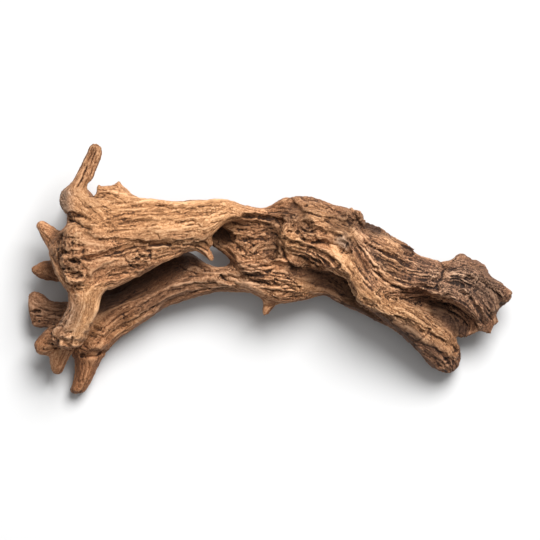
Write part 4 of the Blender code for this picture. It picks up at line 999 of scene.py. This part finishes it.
# Paler golden wood, also used as painted highlight on lit crests.
PALE_WOOD_AND_HIGHLIGHT = [(0.1, (0.11, 0.042, 0.015)), (0.34, (0.34, 0.152, 0.056)),
              (0.6, (0.62, 0.33, 0.145)), (0.9, (0.82, 0.51, 0.275))]
GREY_WOOD = [(0.1, (0.03, 0.022, 0.018)), (0.4, (0.12, 0.095, 0.07)),
             (0.7, (0.3, 0.24, 0.19)), (0.95, (0.55, 0.48, 0.42))]
MIDDLE_TONE = 0.6
SHADE = (0.034, 0.014, 0.007)
# Painted shade on the low-lying limbs.
LOW_LIMB_SHADE = (0.5, 0.41, 0.35)
LOW_LIMB_SHADE_TOP = 0.085      # height under which limbs take the painted shade, m
# Painted shade in the hollows.
HOLLOW_SHADE = (0.012, 0.006, 0.004)

# Floor, light and camera, in metres.
FLOOR_SIZE = 4.0          # half its width
FLOOR_COLOUR = (0.56, 0.56, 0.56, 1)
ROOM_LIGHT = 0.3
CAMERA_HEIGHT = 10.0
FRAME_WIDTH = 540.0       # board mm that the photograph spans
FRAME_LEVEL = 0.06        # height at which the camera's frame spans them too
SENSOR_WIDTH = 36.0       # mm

# Each light's place, width and power in watts.
LIGHTS = {"key": ((1.6, 3.6, 6.4), 4.2, 1020), "overhead": ((0.2, 0.3, 2.6), 1.4, 10)}


def hash_lattice(i, j, k, seed):
    """A number from -1 to 1 for each lattice point, the same every run."""
    n = (i * 73856093) ^ (j * 19349663) ^ (k * 83492791) ^ (seed * 2654435761)
    n = (n ^ (n >> 13)) * 1274126177 & 0xFFFFFFFF
    n = (n ^ (n >> 16)) * 2246822519 & 0xFFFFFFFF
    return ((n >> 8) & 0xFFFF) / 32767.5 - 1


def value_noise(points, size, seed):
    """Smooth noise from about -1 to 1 with blobs of the given size."""
    scaled = points.T / size + 100.5
    cell = np.floor(scaled).astype(np.int64)
    t = scaled - cell
    t = t * t * (3 - 2 * t)
    total = np.zeros(len(points))
    for i in (0, 1):
        for j in (0, 1):
            pair = (t[0] if i else 1 - t[0]) * (t[1] if j else 1 - t[1])
            low = hash_lattice(cell[0] + i, cell[1] + j, cell[2], seed)
            high = hash_lattice(cell[0] + i, cell[1] + j, cell[2] + 1, seed)
            total += pair * (low + (high - low) * t[2])
    return total


def limb_samples():
    """Points, directions and radii along the middle of every limb and root."""
    points, directions, radii = [], [], []
    for rungs in LIMBS.values():
        dense = smooth_rows(rungs, RUNG_STEP)
        middle = np.column_stack([(dense[:, 0:2] + dense[:, 2:4]) / 2, dense[:, 4]])
        points.append(middle)
        directions.append(np.gradient(middle, axis=0))
        radii.append((np.linalg.norm(dense[:, 2:4] - dense[:, 0:2], axis=1) + dense[:, 5]) / 4)
    for stations in ROOTS.values():
        dense = smooth_rows(stations, RUNG_STEP)
        points.append(dense[:, :3])
        directions.append(np.gradient(dense[:, :3], axis=0))
        radii.append(dense[:, 3])
    counts = [len(p) for p in points]
    owner = np.repeat(np.arange(len(points)), counts)
    points, directions, radii = np.vstack(points), np.vstack(directions), np.concatenate(radii)
    directions /= np.linalg.norm(directions, axis=1)[:, None]
    return points, directions, radii, owner


def even_path(corners):
    """The curve through the given corners, read at evenly spaced places."""
    path = smooth_rows(corners, COMB_STEP)
    along = np.concatenate([[0], np.cumsum(np.linalg.norm(np.diff(path, axis=0), axis=1))])
    places = np.linspace(0, along[-1], COMB_PLACES)
    return np.column_stack([np.interp(places, along, path[:, axis]) for axis in (0, 1)]), along[-1]


def combed_cracks():
    """The cracks of every comb, each broken into pieces of uneven length and depth."""
    cracks = []
    for number, (count, width, depth, first, last) in enumerate(COMBS):
        (first, length), (last, _) = even_path(first), even_path(last)
        spacing = length / (COMB_PLACES - 1)
        for i in range(count):
            share = (i + 0.5 + 0.35 * hash_lattice(number, i, 0, SEED)) / count
            path = first * (1 - share) + last * share
            start = int((4 + 4 * hash_lattice(number, i, 1, SEED)) / spacing)
            piece = 2
            while start < COMB_PLACES - 3:
                long = 18 + 10 * hash_lattice(number, i, piece, SEED)
                strength = 0.8 + 0.4 * hash_lattice(number, i, piece + 1, SEED)
                end = start + max(3, round(long / spacing))
                cracks.append((width, depth * strength, path[start:end]))
                start = end + round((3 + 2.5 * hash_lattice(number, i, piece + 2, SEED)) / spacing)
                piece += 3
    return cracks


def grain_direction(points, normals):
    """The grain's direction on the skin at each point."""
    at, way, radius, owner = limb_samples()
    tensor = np.zeros((len(points), 3, 3))
    for limb in np.unique(owner):
        mine = np.nonzero(owner == limb)[0]
        low, high = at[mine].min(axis=0) - LIMB_REACH, at[mine].max(axis=0) + LIMB_REACH
        near = np.nonzero(((points > low) & (points < high)).all(axis=1))[0]
        if not len(near):
            continue
        gap = ((points[near, None] - at[mine]) ** 2).sum(axis=2) ** 0.5
        closest = (gap / radius[mine]).argmin(axis=1)
        index = mine[closest]
        ratio = (gap / radius[mine])[np.arange(len(near)), closest]
        weight = np.exp(-3.0 * ratio ** 2)
        tensor[near] += weight[:, None, None] * way[index][:, :, None] * way[index][:, None, :]
    top = np.clip(normals[:, 2] * 1.5, 0, 1)
    for reach, corners in FLOWS:
        path = smooth_rows(corners, PATH_STEP)
        low, high = path.min(axis=0) - reach, path.max(axis=0) + reach
        near = np.nonzero(((points[:, :2] > low) & (points[:, :2] < high)).all(axis=1))[0]
        gap = ((points[near, None, :2] - path) ** 2).sum(axis=2) ** 0.5
        closest = gap.argmin(axis=1)
        run = np.gradient(path, axis=0)[closest]
        run /= np.linalg.norm(run, axis=1)[:, None]
        weight = np.clip(1 - gap.min(axis=1) / reach, 0, 1) * top[near] * 3
        flat = np.column_stack([run, np.zeros(len(run))])
        tensor[near] += weight[:, None, None] * flat[:, :, None] * flat[:, None, :]
    for x, y, r in KNOTS:
        offset = points[:, :2] - (x, y)
        gap = np.linalg.norm(offset, axis=1)
        near = np.nonzero(gap < KNOT_REACH * r)[0]
        round_way = np.column_stack([-offset[near, 1], offset[near, 0], np.zeros(len(near))])
        round_way /= np.maximum(gap[near], 0.3)[:, None]
        weight = np.clip(KNOT_REACH - gap[near] / r, 0, 1) ** 2 * 3 * top[near]
        tensor[near] += weight[:, None, None] * round_way[:, :, None] * round_way[:, None, :]
    on_skin = np.eye(3) - normals[:, :, None] * normals[:, None, :]
    tensor = on_skin @ (tensor + 1e-6 * np.eye(3)) @ on_skin
    direction = np.linalg.eigh(tensor)[1][:, :, 2]
    direction -= (direction * normals).sum(axis=1)[:, None] * normals
    direction /= np.maximum(np.linalg.norm(direction, axis=1), 1e-6)[:, None]
    return direction


def cell_lookup(points):
    """A function that gives the index of a skin point close to each of the given places."""
    low = points.min(axis=0) - 2 * GRID_CELL
    size = ((points.max(axis=0) - low) / GRID_CELL).astype(int) + 3
    table = np.full(size.prod(), -1, np.int64)

    def cell_of(places):
        cell = np.clip(((places - low) / GRID_CELL).astype(int), 0, size - 1)
        return (cell[:, 0] * size[1] + cell[:, 1]) * size[2] + cell[:, 2]

    table[cell_of(points)] = np.arange(len(points))

    def find(places):
        return table[cell_of(places)]

    return find


def streaks(points, direction, sizes, reach):
    """Noise of each size smeared along the grain over the given reach, each scaled to a spread of 1."""
    find = cell_lookup(points)
    totals = [value_noise(points, size, SEED + i) for i, size in enumerate(sizes)]
    for sign in (1, -1):
        place = points.copy()
        way = direction * sign
        for _ in range(int(reach / STREAK_STEP)):
            place = place + way * STREAK_STEP
            index = find(place)
            known = index >= 0
            ahead = direction[index]
            ahead *= np.sign((ahead * way).sum(axis=1))[:, None]
            way = np.where(known[:, None], 0.5 * way + 0.5 * ahead, way)
            way /= np.maximum(np.linalg.norm(way, axis=1), 1e-6)[:, None]
            for i, size in enumerate(sizes):
                totals[i] += value_noise(place, size, SEED + i)
    return [(total - total.mean()) / total.std() for total in totals]


def grooves(streak, width):
    """1 in the thin lines where a streak changes sign, 0 away from them."""
    return np.clip(1 - np.abs(streak) / width, 0, 1)


def blurred(mesh, rows, rounds):
    """The rows of the mesh's points, averaged with their neighbours' as often as asked."""
    edges = np.empty(len(mesh.edges) * 2, np.int32)
    mesh.edges.foreach_get("vertices", edges)
    edges = edges.reshape(-1, 2)
    count = np.bincount(edges.ravel(), minlength=len(rows)).astype(float)
    for _ in range(rounds):
        total = np.zeros_like(rows)
        for axis in range(rows.shape[1]):
            part = np.bincount(edges[:, 0], rows[edges[:, 1], axis], len(rows))
            total[:, axis] = part + np.bincount(edges[:, 1], rows[edges[:, 0], axis], len(rows))
        rows = 0.5 * rows + 0.5 * total / count[:, None]
    return rows


def stains_and_painted_light(points):
    """The value of each layer at each point: stains, crags, painted shade and painted highlight."""
    layers = {}
    seen = seen_from_above(points)
    ragged = 1 + 0.35 * value_noise(points, size=9, seed=21) + 0.2 * value_noise(points, size=4, seed=22)
    for layer, strength, radius, corners in STAINS_AND_PAINTED_LIGHT:
        path = smooth_rows(corners, PATH_STEP)
        gap = ((points[:, None, :2] - path) ** 2).sum(axis=2).min(axis=1) ** 0.5
        value = strength * seen * np.clip(1.5 - gap / radius * ragged, 0, 1)
        layers[layer] = np.maximum(layers.get(layer, 0), value)
    # Painted shade in the hollows under the limbs in front.
    for strength, radius, top, corners in UNDERSIDES:
        path = smooth_rows(corners, PATH_STEP)
        gap = ((points[:, None, :2] - path) ** 2).sum(axis=2).min(axis=1) ** 0.5
        value = strength * np.clip(1.5 - gap / radius, 0, 1) * np.clip((top - points[:, 2]) / 3, 0, 1)
        layers["shade"] = np.maximum(layers["shade"], value)
    return layers


def crack_lines(points, cracks):
    """How far to the side of its nearest crack each point is in half widths, and how near it is to one."""
    places = wobbled(points[:, :2], CRACK_STRAY)
    seen = seen_from_above(points)
    nearest = np.full(len(points), 1e9)
    side, strength = np.zeros(len(points)), np.zeros(len(points))
    for width, depth, corners in cracks:
        path = smooth_rows(corners, CRACK_STEP)
        reach = 4 * width
        inside = ((places > path.min(axis=0) - reach) & (places < path.max(axis=0) + reach)).all(axis=1)
        near = np.nonzero(inside & (seen > 0))[0]
        distance, right = along_path(places[near], path)
        closer = distance / width < nearest[near]
        nearest[near[closer]] = (distance / width)[closer]
        side[near[closer]] = (right / width)[closer]
        strength[near[closer]] = min(1, depth / 1.8)
    return side, np.clip(1.6 - 0.5 * nearest, 0, 1) * seen * strength


def store(mesh, name, values):
    """Keeps a value for each point of the mesh, for the material to read."""
    layer = mesh.attributes.new(name, "FLOAT", "POINT")
    layer.data.foreach_set("value", values.astype(np.float32))


def grained_skin():
    """The carved skin with its grain, and the values that the material reads from it."""
    skin = wood_skin(FINE_VOXEL)
    cracks = CRACKS + combed_cracks()
    carve(skin, [("cut", width + 0.7, depth, path) for width, depth, path in cracks], CRACK_STRAY)
    points, normals = read_points(skin), read_normals(skin)
    smooth_normals = blurred(skin, normals, 4)
    smooth_normals /= np.linalg.norm(smooth_normals, axis=1)[:, None]
    direction = grain_direction(points, smooth_normals)
    broad, medium = streaks(points, direction, STREAK_SIZES, STREAK_REACH)
    patch = value_noise(points, size=26, seed=3)
    rough = np.clip(0.75 + 0.3 * (points[:, 0] - 250) / 180 + 0.25 * patch, 0.4, 1.15)
    layers = stains_and_painted_light(points)
    rough *= 1 - LIGHT_SMOOTHNESS * layers["light"]
    split_share = np.clip(value_noise(points, size=13, seed=5) + 0.45, 0, 1) * rough
    crack_share = np.clip(value_noise(points, size=8, seed=6) + 0.5, 0, 1) * rough
    height = (0.3 * broad + 0.35 * medium) * rough
    splits = SPLIT[0] * grooves(broad, SPLIT[1]) * split_share
    height -= splits + FISSURE[0] * grooves(medium, FISSURE[1]) * crack_share
    height += 0.35 * value_noise(points, size=2.2, seed=8) + 0.5 * value_noise(points, size=6, seed=9)
    fine_crags = np.abs(value_noise(points, size=3.4, seed=12))
    crags = fine_crags + 0.6 * np.abs(value_noise(points, size=5.5, seed=13))
    height += layers.pop("crags") * CRAG_HEIGHT * (0.45 - crags)
    height *= np.clip((points[:, 2] - FLAT_BELOW) / GRAIN_FADE, 0, 1)
    moved = points + normals * height[:, None]
    write_points(skin, moved)
    far = blurred(skin, moved, 40)
    hollow = ((far - moved) * smooth_normals).sum(axis=1)
    near = blurred(skin, moved, 5)
    dent = ((near - moved) * smooth_normals).sum(axis=1)
    values = {
        "streak_broad": broad, "streak_medium": medium, "split_share": split_share,
        "crack_share": crack_share, "hollow": hollow, "dent": dent,
    }
    values["line_side"], values["line_near"] = crack_lines(points, cracks)
    values.update(layers)
    return skin, values


def thinned(skin, values):
    """The skin with fewer triangles, and with the values that the material reads stored on it."""
    for name, value in values.items():
        store(skin, name, value)
    ratio = PIECE_TRIANGLES / (2 * len(skin.polygons))
    return through_modifiers(skin, [("DECIMATE", {"ratio": ratio, "use_collapse_triangulate": True})])


def flat_at_floor(mesh):
    """Presses the points under the floor flat onto it."""
    points = read_points(mesh)
    points[:, 2] = np.maximum(points[:, 2], 0)
    write_points(mesh, points)


def centred(mesh):
    """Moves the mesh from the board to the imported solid's frame, and gives the board's place in that."""
    points = read_points(mesh)
    solid = (np.array(CAD_BOX[0]) + np.array(CAD_BOX[1])) / 2 / MM
    shift = solid - (points.min(axis=0) + points.max(axis=0)) / 2
    shift[2] = 0
    write_points(mesh, (points + shift) * MM)
    return shift * MM


def make_wood():
    """The dressed piece, in the solid's place. Gives the board's place."""
    skin, values = grained_skin()
    mesh = thinned(skin, values)
    flat_at_floor(mesh)
    board_place = centred(mesh)
    mesh.name = "wood_skin"
    mesh.shade_smooth()
    mesh.materials.clear()
    mesh.materials.append(wood_material())
    piece = bpy.data.objects.new("wood_skin", mesh)
    bpy.context.scene.collection.objects.link(piece)
    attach(piece, "root")
    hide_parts("wood")
    return board_place


# Material

def wood_material():
    """The wood's colours and fibres, from the values that its points hold."""
    material = bpy.data.materials.new("wood_grain")
    material.use_nodes = True
    nodes, links = material.node_tree.nodes, material.node_tree.links
    shader = nodes["Principled BSDF"]

    def attribute(name):
        """The value of that name at a point of the skin."""
        node = nodes.new("ShaderNodeAttribute")
        node.attribute_name = name
        return node.outputs["Fac"]

    def noise(place, scale, detail, roughness):
        """Smooth noise from 0 to 1."""
        node = nodes.new("ShaderNodeTexNoise")
        for name, value in (("Scale", scale), ("Detail", detail), ("Roughness", roughness)):
            node.inputs[name].default_value = value
        links.new(place, node.inputs["Vector"])
        return node.outputs["Fac"]

    def maths(kind, a, b=0.0, clamp=False):
        """The sum, product or other result of two values, which may be held between 0 and 1."""
        node = nodes.new("ShaderNodeMath")
        node.operation = kind
        node.use_clamp = clamp
        for socket, value in zip(node.inputs, (a, b)):
            if isinstance(value, (int, float)):
                socket.default_value = value
            else:
                links.new(value, socket)
        return node.outputs[0]

    def around_zero(value, reach):
        """A value from 0 to 1, moved to lie around 0 and scaled to that reach."""
        return maths("MULTIPLY", maths("SUBTRACT", value, 0.5), reach)

    def ramp(factor, stops):
        """The colour at that factor, between stops of (factor, colour)."""
        node = nodes.new("ShaderNodeValToRGB")
        elements = node.color_ramp.elements
        elements[0].position, elements[0].color = stops[0][0], (*stops[0][1], 1)
        elements[1].position, elements[1].color = stops[-1][0], (*stops[-1][1], 1)
        for position, colour in stops[1:-1]:
            elements.new(position).color = (*colour, 1)
        links.new(factor, node.inputs[0])
        return node.outputs[0]

    def mix(factor, a, b, kind="MIX"):
        """Colour a with that much of colour b over it."""
        node = nodes.new("ShaderNodeMix")
        node.data_type = "RGBA"
        node.blend_type = kind
        for socket, value in zip((node.inputs[0], node.inputs[6], node.inputs[7]), (factor, a, b)):
            if isinstance(value, (int, float)):
                socket.default_value = value
            elif isinstance(value, tuple):
                socket.default_value = (*value, 1)
            else:
                links.new(value, socket)
        return node.outputs[2]

    broad, medium = attribute("streak_broad"), attribute("streak_medium")
    split_share, crack_share = attribute("split_share"), attribute("crack_share")

    coordinates = nodes.new("ShaderNodeTexCoord").outputs["Object"]
    zone = nodes.new("ShaderNodeSeparateXYZ")
    links.new(coordinates, zone.inputs[0])
    patches = noise(coordinates, scale=22.0, detail=3.0, roughness=0.5)

    # 0 on the golden crown and arms, 1 on the red-brown trunk and butt.
    red = maths("ADD", maths("MULTIPLY", zone.outputs[0], 5.5), -0.05)
    red = maths("ADD", red, around_zero(patches, 1.2), clamp=True)

    # Fibres follow lines on which the streaks are even, so they run along the grain, thinner than the mesh.
    fibre_place = nodes.new("ShaderNodeCombineXYZ")
    for socket, value in zip(fibre_place.inputs, (broad, medium, patches)):
        links.new(maths("MULTIPLY", value, FIBRES_PER_STREAK), socket)
    fibre = noise(fibre_place.outputs[0], scale=1.0, detail=2.0, roughness=0.6)
    sand = noise(coordinates, scale=550.0, detail=3.0, roughness=0.7)

    def line(value, width, share):
        """1 on the thin line where the value changes sign, times its share."""
        near = maths("SUBTRACT", 1.0, maths("DIVIDE", maths("ABSOLUTE", value), width), clamp=True)
        return maths("MULTIPLY", near, share)

    split = line(broad, 0.2, split_share)
    crack = line(medium, 0.3, crack_share)
    thin = line(maths("SUBTRACT", medium, 1.0), 0.22, crack_share)
    thinner = line(maths("ADD", broad, 1.0), 0.14, split_share)
    drawn = line(attribute("line_side"), 0.55, attribute("line_near"))
    lines = maths("MAXIMUM", maths("MAXIMUM", split, crack), drawn)
    lines = maths("MAXIMUM", lines, maths("MULTIPLY", maths("MAXIMUM", thin, thinner), 0.8))

    tone = maths("ADD", maths("MULTIPLY", broad, 0.05), maths("MULTIPLY", medium, 0.06))
    tone = maths("ADD", tone, around_zero(fibre, 1.3))
    # Painted highlight on small ridges and painted shade in small dents.
    tone = maths("ADD", tone, maths("MULTIPLY", attribute("dent"), -0.4))
    tone = maths("ADD", tone, maths("MULTIPLY", lines, -0.5))
    tone = maths("ADD", tone, around_zero(sand, 0.7))
    tone = maths("ADD", tone, MIDDLE_TONE, clamp=True)
    colour = mix(red, ramp(tone, GOLDEN_WOOD), ramp(tone, BROWN_WOOD))
    # Paler golden wood, and painted highlight on lit crests, where the light layer lies.
    colour = mix(maths("MULTIPLY", attribute("light"), 0.6), colour, ramp(tone, PALE_WOOD_AND_HIGHLIGHT))
    colour = mix(maths("MULTIPLY", attribute("grey"), 0.6), colour, ramp(tone, GREY_WOOD))
    colour = mix(maths("MULTIPLY", attribute("shade"), 0.85), colour, SHADE)

    # Painted shade: the low-lying limbs are darker and browner, as less light reaches them.
    low = maths("MULTIPLY", maths("SUBTRACT", LOW_LIMB_SHADE_TOP, zone.outputs[2]), 20.0, clamp=True)
    colour = mix(maths("MULTIPLY", low, 0.75), colour, LOW_LIMB_SHADE, "MULTIPLY")

    # Painted shade in the hollows, darker the further the skin lies below its surroundings.
    hollow_shade = maths("MULTIPLY", maths("SUBTRACT", attribute("hollow"), 0.4), 0.16, clamp=True)
    colour = mix(hollow_shade, colour, HOLLOW_SHADE)
    links.new(colour, shader.inputs["Base Color"])
    shader.inputs["Roughness"].default_value = 0.72
    shader.inputs["Specular IOR Level"].default_value = 0.25

    bump = nodes.new("ShaderNodeBump")
    bump.inputs["Strength"].default_value = 0.7
    bump.inputs["Distance"].default_value = 0.0012
    links.new(maths("SUBTRACT", fibre, lines), bump.inputs["Height"])
    links.new(bump.outputs[0], shader.inputs["Normal"])
    return material


# Floor, light and camera

def make_floor():
    """The pale paper that the wood lies on."""
    bm = bmesh.new()
    bmesh.ops.create_grid(bm, x_segments=1, y_segments=1, size=FLOOR_SIZE)
    mesh = bpy.data.meshes.new("floor")
    bm.to_mesh(mesh)
    bm.free()
    material = bpy.data.materials.new("floor_paper")
    material.use_nodes = True
    shader = material.node_tree.nodes["Principled BSDF"]
    shader.inputs["Base Color"].default_value = FLOOR_COLOUR
    shader.inputs["Roughness"].default_value = 0.9
    mesh.materials.append(material)
    floor = bpy.data.objects.new("floor", mesh)
    bpy.context.scene.collection.objects.link(floor)


def make_light(name, place, size, power):
    """A round soft light that points at the wood."""
    light = bpy.data.lights.new(name, "AREA")
    light.shape = "DISK"
    light.size = size
    light.energy = power
    obj = bpy.data.objects.new(name, light)
    obj.location = place
    obj.rotation_euler = (-Vector(place)).to_track_quat("-Z", "Y").to_euler()
    bpy.context.scene.collection.objects.link(obj)


def make_lights():
    """The lights in LIGHTS, and the pale room round them."""
    for name, (place, size, power) in LIGHTS.items():
        make_light(name, place, size, power)
    world = bpy.data.worlds.new("studio")
    world.use_nodes = True
    background = world.node_tree.nodes["Background"]
    background.inputs["Color"].default_value = (1, 1, 1, 1)
    background.inputs["Strength"].default_value = ROOM_LIGHT
    bpy.context.scene.world = world
    bpy.context.scene.view_settings.view_transform = "Standard"


def make_camera(board_place):
    """Looks straight down from far off, with the photograph's 540 mm of board in its frame."""
    camera = bpy.data.cameras.new("camera")
    camera.sensor_width = SENSOR_WIDTH
    camera.lens = SENSOR_WIDTH * (CAMERA_HEIGHT - FRAME_LEVEL) / (FRAME_WIDTH * MM)
    camera.clip_end = 2 * CAMERA_HEIGHT
    obj = bpy.data.objects.new("camera", camera)
    x, y = PHOTO_CENTRE[0] * MM + board_place[0], PHOTO_CENTRE[1] * MM + board_place[1]
    obj.location = (x, y, CAMERA_HEIGHT)
    bpy.context.scene.collection.objects.link(obj)
    bpy.context.scene.camera = obj


board_place = make_wood()
make_floor()
make_lights()
make_camera(board_place)
